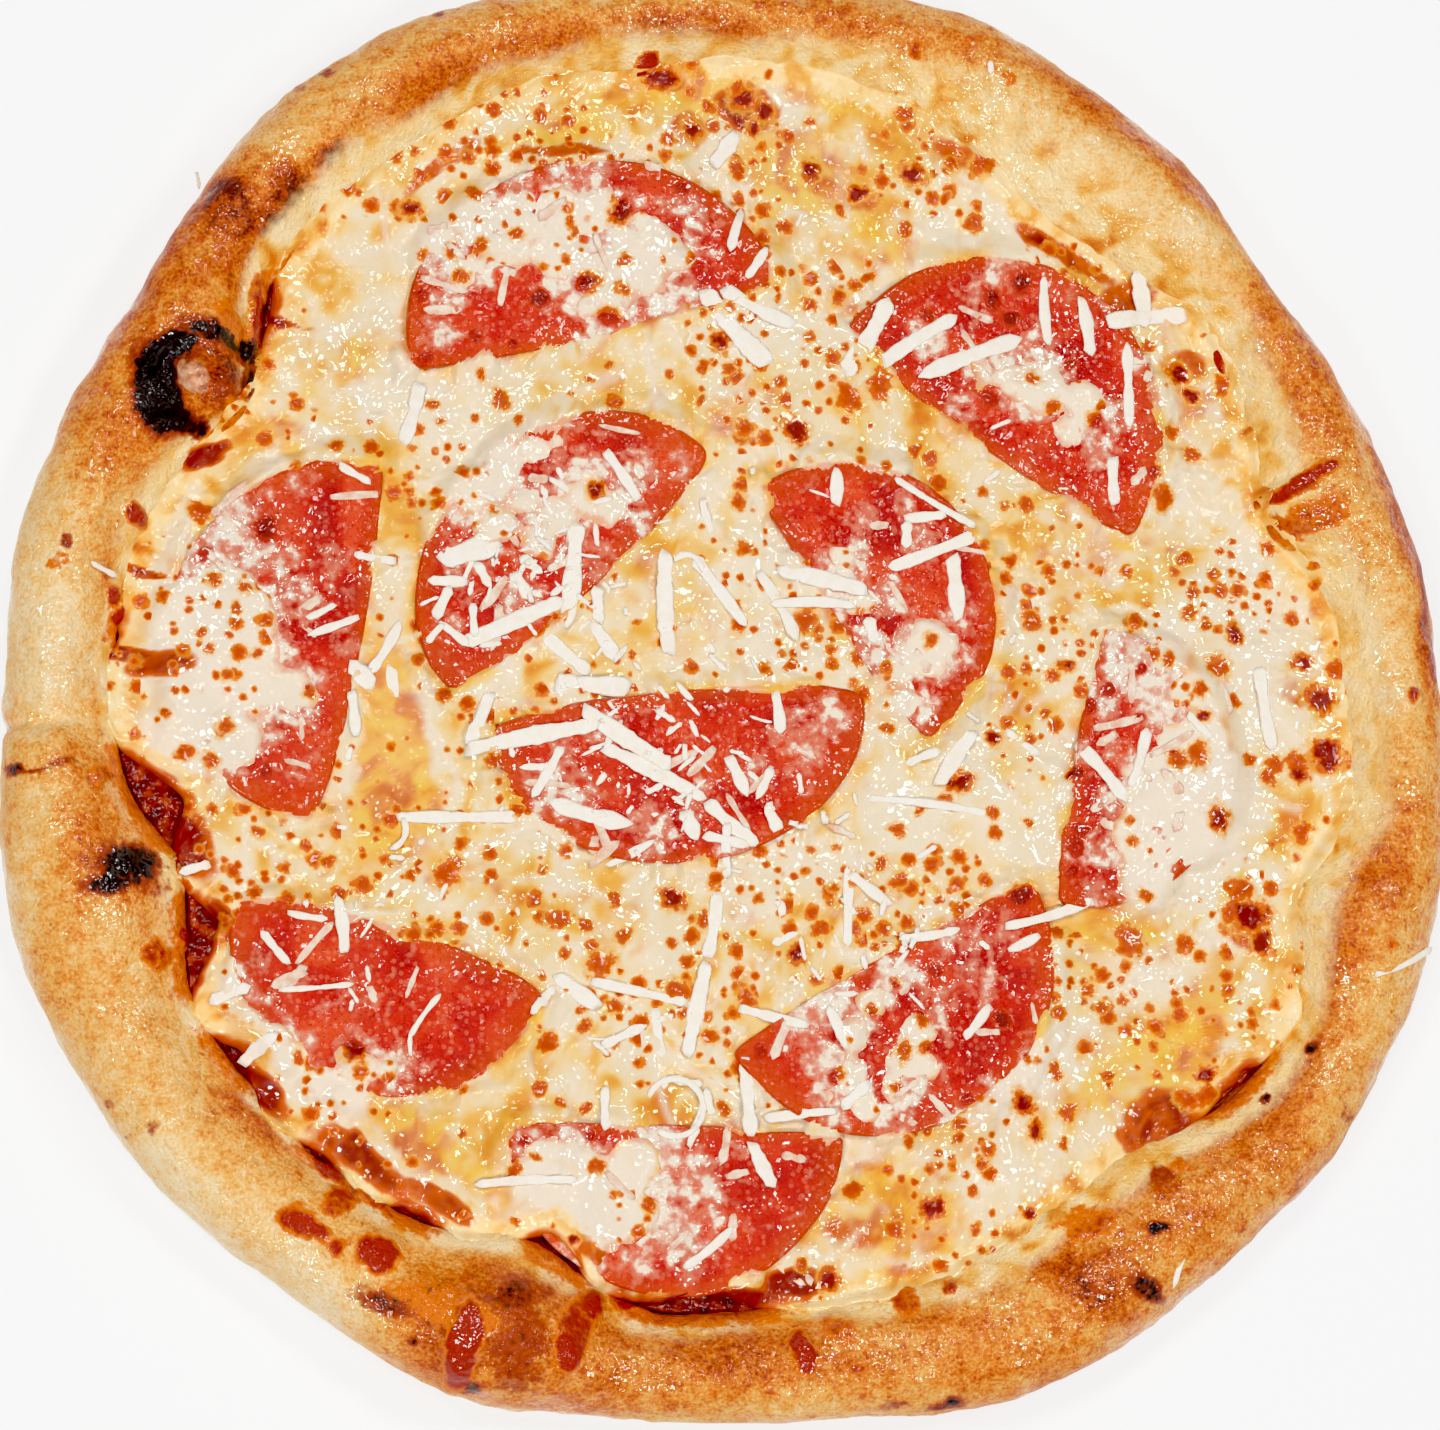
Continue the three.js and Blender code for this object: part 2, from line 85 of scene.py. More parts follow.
# browned bubbles of the cheese: x, y, radius, 1 if burnt dark
SPOTS = [
    (-70.5, 99, 2.4, 1), (-57, 103, 1.6, 0), (-62, 90.5, 1.6, 0), (-56, 91.5, 1.6, 0), (-48.5, 94, 1.6, 0),
    (-37, 97.5, 1.2, 0), (-36, 95, 1, 0), (-26, 100, 2.6, 1), (-33, 84.5, 2.4, 1), (-25, 89.5, 1.4, 0),
    (-25, 83, 1.2, 0), (-68, 80.5, 1.6, 0), (-60, 84.5, 1.6, 0), (-43, 80.5, 2, 1), (-56.5, 72, 1.6, 0),
    (-48.5, 71, 1.2, 0), (-67, 67, 1.6, 0), (-28.5, 77.5, 2, 0), (-13, 105.5, 1.6, 0), (-4.5, 73.5, 2.4, 1),
    (-28.5, 67, 1, 0), (-32.5, 64, 1, 0), (-36.5, 60.5, 1, 0), (-15.5, 66, 1, 0), (-8, 67.5, 1.4, 0),
    (-3, 67.5, 1.4, 0), (-27, 59.5, 1.8, 0), (-51, 59.5, 2, 0), (-55, 64, 1, 0), (-65.5, 58, 1.2, 0),
    (-63.5, 54, 1.2, 0), (-56.5, 55, 1, 0), (-47, 55, 1.2, 0), (-9, 60.5, 1.2, 0), (0.5, 54.5, 1.8, 0),
    (11.5, 54.5, 2.8, 1), (-31, 40, 2.2, 1), (-37, 120, 1.4, 0), (-16.5, 130, 3, 1), (-10.5, 119, 2.4, 1),
    (-7, 124.5, 1.6, 0), (6, 131.5, 1, 0), (15, 121.5, 1.2, 0), (35.5, 124.5, 1.6, 0), (-1, 110.5, 2, 0),
    (15, 111, 2.6, 1), (25.5, 106.5, 2.2, 1), (37, 111, 2.6, 1), (45.5, 113.5, 1.6, 0), (44.5, 106, 1.2, 0),
    (52.5, 114, 2.4, 0), (50.5, 101, 2, 0), (21, 102.5, 1.2, 0), (21, 84, 1.6, 0), (35.5, 99, 1.6, 0),
    (0.5, 126, 2.8, 1), (5, 123.5, 2.2, 1), (2.5, 120, 1.8, 1), (-1, 128.5, 1.6, 0), (27.5, 88.5, 1.2, 0),
    (39.5, 80, 1.6, 0), (54, 84, 2.2, 1), (60.5, 88, 2.4, 1), (58, 80, 2, 1), (53.5, 62.5, 2, 0),
    (66.5, 61, 1.8, 0), (76, 58.5, 1.8, 0), (71, 70.5, 1.4, 0), (62.5, 67, 1.4, 0), (23, 62, 3, 0),
    (29.5, 65, 2.8, 0), (37, 51, 1.6, 0), (40.5, 49.5, 1.6, 0), (42, 44, 1.8, 0), (61.5, 40, 1.8, 0),
    (58, 28, 1.6, 0), (93, 57, 1.8, 0), (97.5, 52, 2.2, 0), (89, 47.5, 1.6, 0), (91, 42, 2.4, 0),
    (96, 29.5, 1.6, 0), (98, 65, 2, 1), (95, 69.5, 2.8, 1), (104.5, 67.5, 1.8, 0), (-100, 49, 2, 0),
    (-85.5, 48, 1.4, 0), (-113, 33.5, 2.4, 0), (-99.5, 30, 2.8, 1), (-112, 24.5, 1.6, 0),
    (-110, 19, 1.4, 0), (-103.5, 17.5, 1.4, 0), (-105.5, 13.5, 1.2, 0), (-112.5, 7.5, 1.2, 0),
    (-101, 4, 1.2, 0), (-107, -0.5, 1.4, 0), (-119.5, -9, 1, 0), (-107.5, -11.5, 1.8, 0),
    (-115.5, -17, 1.6, 0), (-110, -18, 1.8, 0), (-90, -4, 1.6, 0), (-99, -20.5, 1.6, 0),
    (-103, -28, 1.4, 0), (-100, -33, 1.4, 0), (-93.5, -33.5, 1, 0), (-90.5, -35.5, 1.2, 0),
    (-72, -27.5, 1, 0), (0.5, 29, 1.6, 0), (-0.5, 39, 1.6, 0), (13.5, 14, 2.4, 0), (40, 10, 1.6, 0),
    (62, 15, 2, 0), (31, -8.5, 1.2, 0), (54, -10, 1.8, 1), (65, -4.5, 1.2, 0), (46.5, -19.5, 2.8, 1),
    (43, -23, 1.2, 0), (53.5, -26, 1.2, 0), (53.5, -30, 1.4, 0), (38, -26, 1.2, 0), (33, -30, 1.6, 0),
    (61, -28, 1.2, 0), (30, -37, 1.6, 0), (33.5, -41, 1.8, 0), (69.5, 5.5, 1.8, 1), (84.5, 15.5, 1.6, 0),
    (91.5, 7.5, 1.6, 0), (85.5, 5, 1.2, 0), (78.5, 0.5, 1.6, 0), (98, 1, 1.6, 0), (106.5, 13.5, 2.2, 1),
    (96.5, 18, 1.8, 0), (100, 15, 1.2, 0), (103, 6.5, 2.4, 0), (106.5, -1, 1.4, 0), (74.5, -3, 1.6, 0),
    (85, -5.5, 1.2, 0), (98.5, -4.5, 1.6, 1), (93, -14, 2, 0), (97.5, -13, 2.4, 0), (109.5, -13.5, 1.4, 0),
    (121, 7.5, 2.4, 1), (124.5, -0.5, 3.2, 1), (128, 6, 1.8, 0), (127, -14, 2.8, 1), (120.5, -16.5, 2, 1),
    (115, -14.5, 1.8, 0), (102, -26.5, 2.6, 1), (121, -29, 2, 0), (71, -17.5, 1.8, 1), (72, -29.5, 1.8, 0),
    (71, -33, 2.4, 0), (70, -38, 1.6, 0), (59, -43.5, 2.8, 1), (85.5, -43.5, 1.6, 0), (82.5, -52.5, 3.2, 0),
    (94.5, -53.5, 2, 0), (67, -51, 1.4, 0), (71, -51.5, 1, 0), (108, -41.5, 1.6, 0), (105, -46, 2.4, 0),
    (-43.5, -45.5, 1.8, 0), (-38, -49.5, 2.4, 0), (-33, -51, 1.6, 0), (-27, -45.5, 1.6, 0),
    (-24.5, -53.5, 1.8, 0), (-14.5, -54, 1.2, 0), (-14.5, -45, 2.8, 1), (-8, -49.5, 1.8, 0),
    (-5.5, -41, 1.6, 0), (16.5, -51, 1.8, 0), (19.5, -42.5, 1.2, 0), (24, -51, 1.6, 0), (12, -56, 2.4, 1),
    (-29.5, -59, 2.8, 0), (-13.5, -64, 2.4, 0), (-26.5, -67.5, 1.6, 0), (-40.5, -75, 2, 0),
    (-32.5, -72, 1.4, 0), (-6.5, -73.5, 1.6, 0), (1, -66, 2.2, 0), (3.5, -76.5, 1.8, 0),
    (19.5, -81.5, 1.6, 0), (27, -68, 1.2, 0), (32, -62, 1.2, 0), (-42, -84.5, 1.4, 0),
    (-32.5, -88.5, 1.2, 0), (-37.5, -87.5, 1, 0), (-4, -88.5, 1.4, 0), (37.5, -69.5, 1.6, 0),
    (34, -76.5, 1.8, 0), (38.5, -75.5, 1.4, 0), (32, -84, 1.6, 0), (40.5, -59.5, 1.6, 0),
    (35, -94.5, 1.4, 0), (45, -94, 1.2, 0), (50.5, -99.5, 1.4, 0), (60, -77.5, 1, 0), (66, -80, 1.6, 0),
    (69, -88.5, 1.8, 0), (77.5, -81, 1.4, 0), (59.5, -87, 2.6, 1), (62, -92.5, 2, 1), (74, -63, 1.4, 0),
    (76.5, -66.5, 1.6, 0), (54.5, -69.5, 2, 1), (68, -95, 1.2, 0), (47, -86, 1.6, 0), (40, -108.5, 2.8, 1),
    (60.5, -109.5, 1.4, 1), (48.5, -105, 1.2, 0), (49, -113, 1.4, 0), (98.5, -85, 2.4, 0),
    (23, -105, 2.2, 0), (31.5, -113, 2, 0), (18, -123.5, 2.6, 1), (12.5, -120.5, 1.4, 0),
    (-85.5, -38.5, 1.4, 0), (-78.5, -43.5, 2, 0), (-68.5, -41, 1.2, 0), (-61.5, -40.5, 3, 0),
    (-41, -75.5, 1.8, 0), (-80, -77.5, 2.6, 1), (-91.5, -79, 1.2, 0), (-47.5, -101, 1.6, 0),
    (-45.5, -95.5, 1.2, 0), (-43, -99, 1, 0), (-31.5, -94, 1.2, 0), (-57.5, -94, 1, 0),
    (-30.5, -100.5, 1.6, 0), (-35, -115.5, 1.2, 1), (-20, -108, 1.6, 0), (121, 7.5, 1.8, 0),
    (125.5, -0.5, 3, 1), (126.5, -11.5, 3.4, 1), (120, -14.5, 2.6, 0), (113.5, -17, 2, 0),
    (130.5, 6.5, 2.2, 0), (109, -47, 4, 1), (106.5, -41.5, 2.6, 0), (111.5, -52.5, 2.4, 1),
    (-18.5, 130, 2.6, 1), (98.5, -80.5, 2.4, 1), (94, -86, 2, 0),
]
# thick cheese that has run over the slices, as round patches: x, y, radius
COVERS = [
    (-56, 96, 6), (-47.5, 98.5, 6.5), (-39, 98.5, 6.5), (-30.5, 99, 6.5), (-22, 95, 6.5),
    (-30.5, 89.5, 6.5), (-22, 87.5, 6), (-39, 91, 6.5), (-49.5, 91.5, 5), (-58, 86, 4.5), (-27.5, 82, 4.5),
    (-14.5, 91, 4), (-32.5, 79.5, 3), (-31.5, 74, 1.5), (-61, 79.5, 2.5), (-64.5, 92, 5), (65, 65, 6.5),
    (74, 63, 5.5), (57.5, 67, 3.5), (70.5, 56, 4), (52, 68, 3), (-109.5, 6.5, 8.5), (-103.5, -1.5, 7.5),
    (-112.5, -4, 8.5), (-116.5, -14.5, 8.5), (-106.5, -14, 7.5), (-95.5, -3.5, 5), (-108, 17, 6.5),
    (-115, 14.5, 6.5), (-104.5, 10.5, 7.5), (-100, 4.5, 4.5), (-90.5, -5, 3), (-121, 6, 6.5),
    (-32.5, 39, 5.5), (-38.5, 34.5, 4.5), (-27, 36, 3.5), (-43, 29, 4), (-51, 33, 4), (-46, 37.5, 4),
    (-52.5, 41.5, 4.5), (-57.5, 37.5, 4), (-50.5, 45.5, 4.5), (-44, 48.5, 4), (-53, 31.5, 3.5),
    (-39, 50.5, 2.5), (-22, 44.5, 2), (40, 9, 6.5), (33.5, 3.5, 4.5), (21.5, 27.5, 3), (25, 18, 3.5),
    (34.5, -3, 4), (61.5, -81.5, 5), (56, -86.5, 5), (50.5, -91.5, 4.5), (44.5, -95, 3.5), (90.5, 8, 4.5),
    (96.5, 0.5, 5), (99, -8, 5), (90, -20.5, 9.5), (87, -31.5, 8.5), (93.5, -10, 5), (97.5, -29, 8.5),
    (101, -18.5, 8.5), (86.5, -40, 6.5), (34, -78, 5), (37, -72, 4), (31.5, -83.5, 3.5), (38.5, -80, 3),
    (27.5, -66, 4), (33, -62.5, 3.5), (24, -73, 4), (22.5, -81.5, 4), (19, -86.5, 2.5), (26, -88, 3.5),
    (-38, -105.5, 11.5), (-27.5, -107.5, 9), (-22.5, -100, 6), (-34, -115.5, 6.5), (-20.5, -110.5, 4.5),
    (-42, -111.5, 6.5), (-80, -80, 4.5), (-87, -83.5, 5), (-96.5, -75.5, 4), (-101.5, -71.5, 3.5),
    (-93, -79.5, 4.5), (-73, -81, 2.5), (-82, -86.5, 5), (-106.5, -64.5, 3),
]
# thin cheese through which a slice shows: x, y, radius, strength
VEILS = [
    (-47.5, 105, 4, 0.7), (-39, 108, 4, 0.7), (-30.5, 110, 3.5, 0.6), (-13.5, 81.5, 5, 0.8),
    (-18.5, 80, 4, 0.8), (-11, 100, 4, 0.6), (-5, 100.5, 3.5, 0.5), (-22, 73.5, 3.5, 0.7),
    (-64, 73, 3.5, 0.6), (-32.5, 108, 5.5, 0.7), (-43, 80.5, 3, 0.6), (-5, 92.5, 3, 0.4),
    (50.5, 84, 4.5, 0.35), (56.5, 72, 4, 0.7), (81.5, 59, 4, 0.5), (64.5, 75.5, 4, 0.5), (77, 52, 4.5, 0.6),
    (47, 62, 4.5, 0.4), (85, 72, 3, 0.5), (56, 91.5, 6.5, 0.4), (80, 85, 4, 0.4), (40.5, 75, 4.5, 0.8),
    (-110, 31.5, 8, 0.9), (-104, 26, 6.5, 0.8), (-113, 23, 6, 0.9), (-96.5, 23.5, 4, 0.5),
    (-92.5, 15.5, 5.5, 0.5), (-86.5, 24, 4, 0.35), (-100, 36, 3.5, 0.4), (-83, 7, 4, 0.4),
    (-92, -18, 4, 0.3), (-92.5, 40.5, 3.5, 0.4), (-52, 41.5, 6, 0.9), (-22, 44.5, 4.5, 0.5),
    (-13.5, 47, 3.5, 0.5), (-57.5, 24.5, 5.5, 0.6), (-32, 25.5, 5.5, 0.6), (-47, 16.5, 5, 0.7),
    (-38.5, 46.5, 3, 0.5), (-61.5, 12, 3.5, 0.4), (-21.5, 34, 3.5, 0.6), (20.5, 22.5, 6.5, 0.8),
    (31.5, 18.5, 4.5, 0.6), (27, 8, 5, 0.7), (38, 31.5, 4.5, 0.5), (35, 40, 3.5, 0.5), (46.5, 19, 3.5, 0.4),
    (25, 35.5, 4, 0.5), (33.5, -2.5, 5, 0.8), (46.5, 6, 3.5, 0.5), (12, -11.5, 6.5, 0.6),
    (18.5, -7, 4.5, 0.6), (-38.5, -23, 7, 0.6), (-19.5, -31, 5.5, 0.6), (-9, -24.5, 4.5, 0.5),
    (-30, -10.5, 4, 0.4), (3.5, -18, 4, 0.4), (-2.5, -35, 4, 0.7), (-38.5, -13.5, 3.5, 0.5),
    (87.5, 8, 7, 0.9), (83, 5, 6.5, 0.9), (90.5, 0.5, 8.5, 0.95), (77.5, -1.5, 5.5, 0.8),
    (73, -13.5, 3.5, 0.5), (71.5, -33.5, 3, 0.6), (79, 11, 4, 0.9), (95, -5.5, 5, 0.85),
    (80.5, -14.5, 4, 0.5), (78.5, -23, 3.5, 0.5), (76, -33.5, 4, 0.6), (75, -42, 3.5, 0.5),
    (83.5, 13.5, 4, 0.9), (12, -68, 6.5, 0.9), (18.5, -66, 5.5, 0.9), (22.5, -55.5, 4.5, 0.5),
    (46, -53, 6.5, 0.4), (50, -61.5, 5.5, 0.4), (41.5, -67.5, 4, 0.5), (10, -75.5, 3, 0.3),
    (39.5, -86.5, 3.5, 0.3), (56.5, -51, 4, 0.4), (34, -90.5, 3.5, 0.4), (18, -78.5, 5, 0.9),
    (-11, -103, 6.5, 0.7), (-15, -113.5, 6.5, 0.8), (-9, -115.5, 4.5, 0.6), (-17.5, -97, 5.5, 0.9),
    (-5, -109, 3.5, 0.5), (-11, -121.5, 3.5, 0.4), (-0.5, -97, 2.5, 0.4), (-21.5, -119.5, 4, 0.7),
    (-85, -67, 3, 0.2), (-75, -67, 2, 0.35), (-70, -80.5, 4, 0.45), (-91.5, -63, 2, 0.25),
    (-99.5, -59, 2.5, 0.35), (-81, -63, 1.5, 0.3), (-103.5, -53, 2, 0.25),
]
# oval zones: x, y, half-length, half-width, bearing, strength. Oil that has parted from the cheese:
OILY = [
    (-73, -19, 17.6, 7.1, 90, 1.3), (-75, -1, 10.4, 5.4, 90, 0.8), (-67, -26, 10.4, 4.2, 100, 0.7),
    (-80, -38, 6.3, 6.3, 0, 0.5), (-63, -38, 7.5, 5, 150, 0.5), (-83, 66, 10.4, 5, 20, 0.6),
    (-87, 56, 7.1, 4.6, 0, 0.5), (-30, 128, 12.5, 4.6, 175, 0.8), (-9, 127, 12.5, 7.1, 0, 0.9),
    (26, 127, 16.7, 4.2, 170, 0.9), (48, 119, 12.5, 7.1, 150, 0.85), (13, 111, 16.7, 8.4, 160, 0.75),
    (4, 98, 10.4, 6.3, 0, 0.65), (26, 96, 12.5, 7.1, 170, 0.6), (-39, 118, 12.5, 3.8, 10, 0.7),
    (73, 26, 14.6, 10.4, 20, 0.5), (33, -109, 14.6, 10.4, 0, 0.75), (90, 29, 10.4, 6.3, 0, 0.45),
    (42, -93, 10.4, 8.4, 0, 0.5), (4, 61, 10.4, 6.3, 0, 0.4), (19, 83, 10.4, 4.2, 0, 0.5),
    (-3, 56, 8.4, 6.3, 0, 0.45), (10, 46, 6.3, 5, 0, 0.4), (-11, 13, 12.5, 8.4, 0, 0.35),
    (-22, 26, 8.4, 6.3, 90, 0.4), (-5, -3, 12.5, 4.2, 0, 0.35), (108, 58, 10.4, 2.1, 110, 0.9),
    (100, 64, 10.4, 5.4, 100, 0.5), (125, 21, 7.5, 1.7, 80, 0.7), (127, -9, 10.4, 2.9, 80, 0.5),
    (95, -73, 12.5, 6.3, 60, 1), (80, -78, 12.5, 8.4, 40, 0.6), (101, -65, 10.4, 4.2, 80, 0.8),
    (74, -57, 10.4, 6.3, 120, 0.4), (85, -50, 8.4, 4.2, 150, 0.5), (-62, -87, 12.5, 6.3, 160, 0.35),
    (-46, -75, 8.4, 6.3, 0, 0.2), (-66, -95, 12.5, 5, 145, 0.8), (-54, -103, 12.5, 4.2, 140, 0.5),
    (54, -117, 12.5, 3.3, 5, 0.5), (33, -124, 12.5, 2.9, 3, 0.6), (-9, -68, 10.4, 6.3, 0, 0.35),
    (29, -41, 12.5, 5, 20, 0.4), (-55, -42, 10.4, 5, 170, 0.4), (-30, -50, 12.5, 5, 160, 0.4),
    (0, -51, 8.4, 6.3, 90, 0.4), (64, 58, 6.3, 2.9, 0, 0.3), (21, 61, 8.4, 5, 160, 0.4),
    (-93, 49, 10.4, 4.2, 160, 0.5), (-128, -19, 12.5, 4.2, 95, 0.4), (55, -2, 10.4, 8.4, 90, 0.3),
]
# sauce that shows through or beside the cheese:
SAUCY = [
    (-101, 75, 1.3, 8.4, 80, 1), (-112, 45, 6.3, 1.9, 35, 1), (-125, 21, 1, 5.9, 80, 0.9),
    (-128, 3, 2.1, 7.1, 85, 1), (-121, 1, 6.7, 2.7, 10, 0.8), (-117, -35, 6.3, 10, 50, 1),
    (-109, -49, 3.3, 4.6, 60, 0.8), (-100, -84, 9.6, 3.3, 135, 1), (-79, -99, 11.7, 3.3, 145, 0.9),
    (-62, -108, 8.4, 2.5, 150, 0.7), (-9, -128, 20.9, 2.5, 2, 1), (11, -124, 7.1, 3.3, 5, 1),
    (89, -90, 8.8, 6.3, 20, 0.8), (84, -94, 4.2, 4.2, 0, 0.8), (2, 124, 5.4, 7.1, 80, 0.9),
    (-16, 130, 5, 3.3, 150, 0.7), (-64, 109, 12.5, 1.9, 40, 0.6), (-39, 113, 12.5, 1.7, 0, 0.6),
    (70, 95, 12.5, 2.5, 150, 0.8), (83, 86, 4.2, 10.4, 115, 0.7), (123, 2, 5, 8.4, 75, 0.5),
    (125, -15, 8.4, 3.3, 10, 0.5), (73, -113, 8.4, 2.9, 20, 0.3), (-29, -120, 8.4, 2.5, 150, 0.6),
    (-11, 119, 4.6, 4.2, 0, 0.5), (96, 71, 5, 5, 0, 0.6), (91, -96, 4.2, 2.5, 30, 0.6),
    (109, -49, 5.4, 5.4, 60, 0.5), (-103, -54, 4.2, 4.2, 0, 0.5), (25, -114, 10.4, 4.2, 10, 0.45),
    (48, 115, 8.4, 2.9, 150, 0.5), (22, 107, 10.4, 3.3, 160, 0.35), (40, -105, 4.2, 4.2, 0, 0.4),
]
# golden and brown zones of the rim, or paler ones where below zero:
TOASTED = [
    (-136.5, 71.5, 25.1, 12.5, 60, 0.2), (-118.5, 86.5, 18.8, 12.5, 50, 0.27),
    (-93.5, 98, 20.9, 5.4, 45, 0.4), (-47.5, 123.5, 18.8, 4.6, 18, 0.3), (-108.5, 97.5, 8.4, 6.3, 45, 0.45),
    (-96, 100.5, 6.3, 3.3, 120, 0.6), (-86, 107, 5, 3.3, 0, 0.5), (-108.5, 101, 4.2, 2.9, 0, 0.4),
    (-98, 93, 3.3, 2.5, 0, 0.5), (-125, 21, 8.4, 6.3, 0, 0.25), (-128, 46.5, 10.4, 6.3, 40, 0.35),
    (-130, -37, 11.7, 9.2, 100, 0.3), (-146, -40, 23, 5, 85, -0.3), (-113.5, -84, 14.6, 6.3, 130, -0.2),
    (-127.5, -70, 12.5, 8.4, 110, -0.12), (-119, -53.5, 10.4, 6.3, 110, 0.2),
    (-99, -89.5, 12.5, 5.4, 135, 0.5), (-101, -117.5, 27.2, 8.4, 140, -0.35),
    (-121, -94, 18.8, 6.3, 130, -0.3), (-47, -127.5, 27.2, 10.4, 20, 0.25),
    (-59, -135.5, 16.7, 14.6, 0, 0.35), (-9.5, -136.5, 31.3, 8.4, 0, 0.3),
    (26.5, -127.5, 18.8, 2.9, -14, 0.25), (55.5, -117, 16.7, 3.3, -30, 0.25),
    (85, -100.5, 14.6, 3.3, -45, 0.25), (-26, -147.5, 20.9, 4.2, 5, 0.25),
    (21, -141.5, 31.3, 6.3, -5, 0.27), (52, -133.5, 25.1, 10.4, -25, 0.27),
    (71, -123.5, 12.5, 6.3, -35, 0.4), (84, -113, 23, 12.5, -40, 0.28),
    (108.5, -92.5, 18.8, 10.4, -50, 0.3), (108.5, -75.5, 12.5, 10.4, 60, 0.55),
    (121, -64.5, 16.7, 8.4, 70, 0.35), (125, -44, 16.7, 8.4, 80, 0.35), (137.5, -29, 20.9, 4.2, 85, 0.3),
    (101, -105, 12.5, 6.3, -45, 0.2), (141, 42.5, 25.1, 2.9, 105, 0.5), (115.5, 76, 16.7, 12.5, 120, 0.2),
    (109, 84.5, 12.5, 8.4, 130, 0.2), (97, 110, 12.5, 4.2, 140, 0.5), (77, 125.5, 12.5, 3.8, 150, 0.35),
    (125.5, 58.5, 12.5, 6.3, 110, 0.2), (146.5, 12, 16.7, 1.7, 90, 0.5), (-20, 135, 25.1, 5, 0, 0.45),
    (-52.5, 130.5, 16.7, 6.3, 20, 0.22), (-67, 119.5, 16.7, 8.4, 30, 0.36), (-106.5, 58, 6.3, 5.4, 90, 0.5),
    (-10, 141, 12.5, 2.5, 0, 0.35), (28.5, 140.5, 33.4, 3.8, -8, 0.3), (-39, 122, 12.5, 3.3, 10, 0.3),
    (-143, 9, 25.1, 8.4, 90, -0.45), (55, 120.5, 37.6, 8.4, 155, -0.35), (136.5, 1, 23, 7.5, 90, -0.4),
    (100.5, 93, 12.5, 6.3, 140, -0.3), (-85, -125.5, 12.5, 4.2, 140, -0.3),
    (-146, 38.5, 12.5, 4.2, 80, -0.2), (-140.5, -20, 8.4, 4.2, 10, 0.3),
    (-100, -137.5, 12.5, 4.2, 145, -0.3),
]
# burnt places of the rim:
CHARRED = [
    (-122.5, 57.5, 9.6, 5, 95, 1.4), (-120, 64.5, 6.3, 3.3, 35, 1.3), (-123.5, 54, 4.2, 3.8, 90, 1.3),
    (-119, 52, 5.4, 2.9, -20, 1.2), (-111, 68.5, 7.5, 2.7, -20, 0.95), (-104, 66.5, 4.2, 2.7, 120, 0.95),
    (-113.5, 50, 2.9, 1.9, 20, 0.95), (-107, 57, 5.9, 3.8, -15, 0.5), (-103.5, 61.5, 4.6, 1.9, 80, 0.8),
    (-126.5, -40, 6.3, 4.2, 0, 1.1), (-128.5, -44, 6.7, 2.9, 10, 0.95), (-123, -41, 3.8, 2.9, 0, 1),
    (-133, -40, 3.3, 2.1, 0, 0.5), (-122, -45.5, 4.2, 2.1, 0, 0.4), (-48, -126.5, 5.9, 3.8, 20, 0.75),
    (-47, -137.5, 9.2, 6.3, 80, 0.55), (-55, -127.5, 8.4, 6.3, 0, 0.35), (-57, -145, 2.1, 2.1, 80, 0.9),
    (-73, -128, 7.1, 2.9, -15, 0.7), (-64, -125.5, 5, 1.7, -10, 0.6), (-68, -135.5, 1.5, 1.5, 0, 1),
    (-42.5, -125.5, 2.9, 2.1, 0, 0.5), (-51, -131.5, 5, 2.9, 0, 0.45), (41.5, -149, 4.6, 1.9, 10, 0.95),
    (30.5, -149, 3.3, 1.3, 0, 0.5), (83.5, -125.5, 5.4, 2.5, -35, 0.85), (85.5, -112.5, 2.5, 1.5, 0, 1),
    (87.5, -102, 2.9, 2.1, 20, 0.55), (97.5, 116.5, 8.4, 1.5, -45, 0.5), (147.5, 21, 12.5, 1.3, 100, 0.5),
    (148.5, 8, 8.4, 0.8, 90, 0.6), (-144.5, -22, 8.4, 0.8, 10, 0.7), (-150, -22, 2.1, 1.3, 0, 1),
    (120.5, -75.5, 1.5, 1.5, 0, 0.85), (110.5, -85.5, 1.5, 1.5, 0, 0.85), (-130.5, -22, 4.2, 1.7, 60, 0.5),
    (-133.5, -23.5, 2.1, 1.7, 90, 0.5), (129, -90, 4.2, 1.3, -55, 0.5), (119.5, -106.5, 6.3, 1.7, -50, 0.4),
    (-141, 24.5, 1.5, 1.5, 0, 0.7), (-78, 137.5, 1.9, 1.3, 0, 0.7), (-66.5, 141, 1.9, 1.3, 0, 0.7),
    (-95, 123.5, 1.7, 1.3, 0, 0.6), (-88.5, 127, 1.7, 1.3, 0, 0.6), (-130, -89.5, 1.5, 1, 0, 0.5),
    (-125, -96, 1.5, 1, 0, 0.5), (-121, -94, 1.5, 1.5, 0, 0.5), (108.5, -52, 2.5, 1.7, 120, 0.85),
    (-109.5, -58, 0.8, 0.8, 0, 0.9),
]
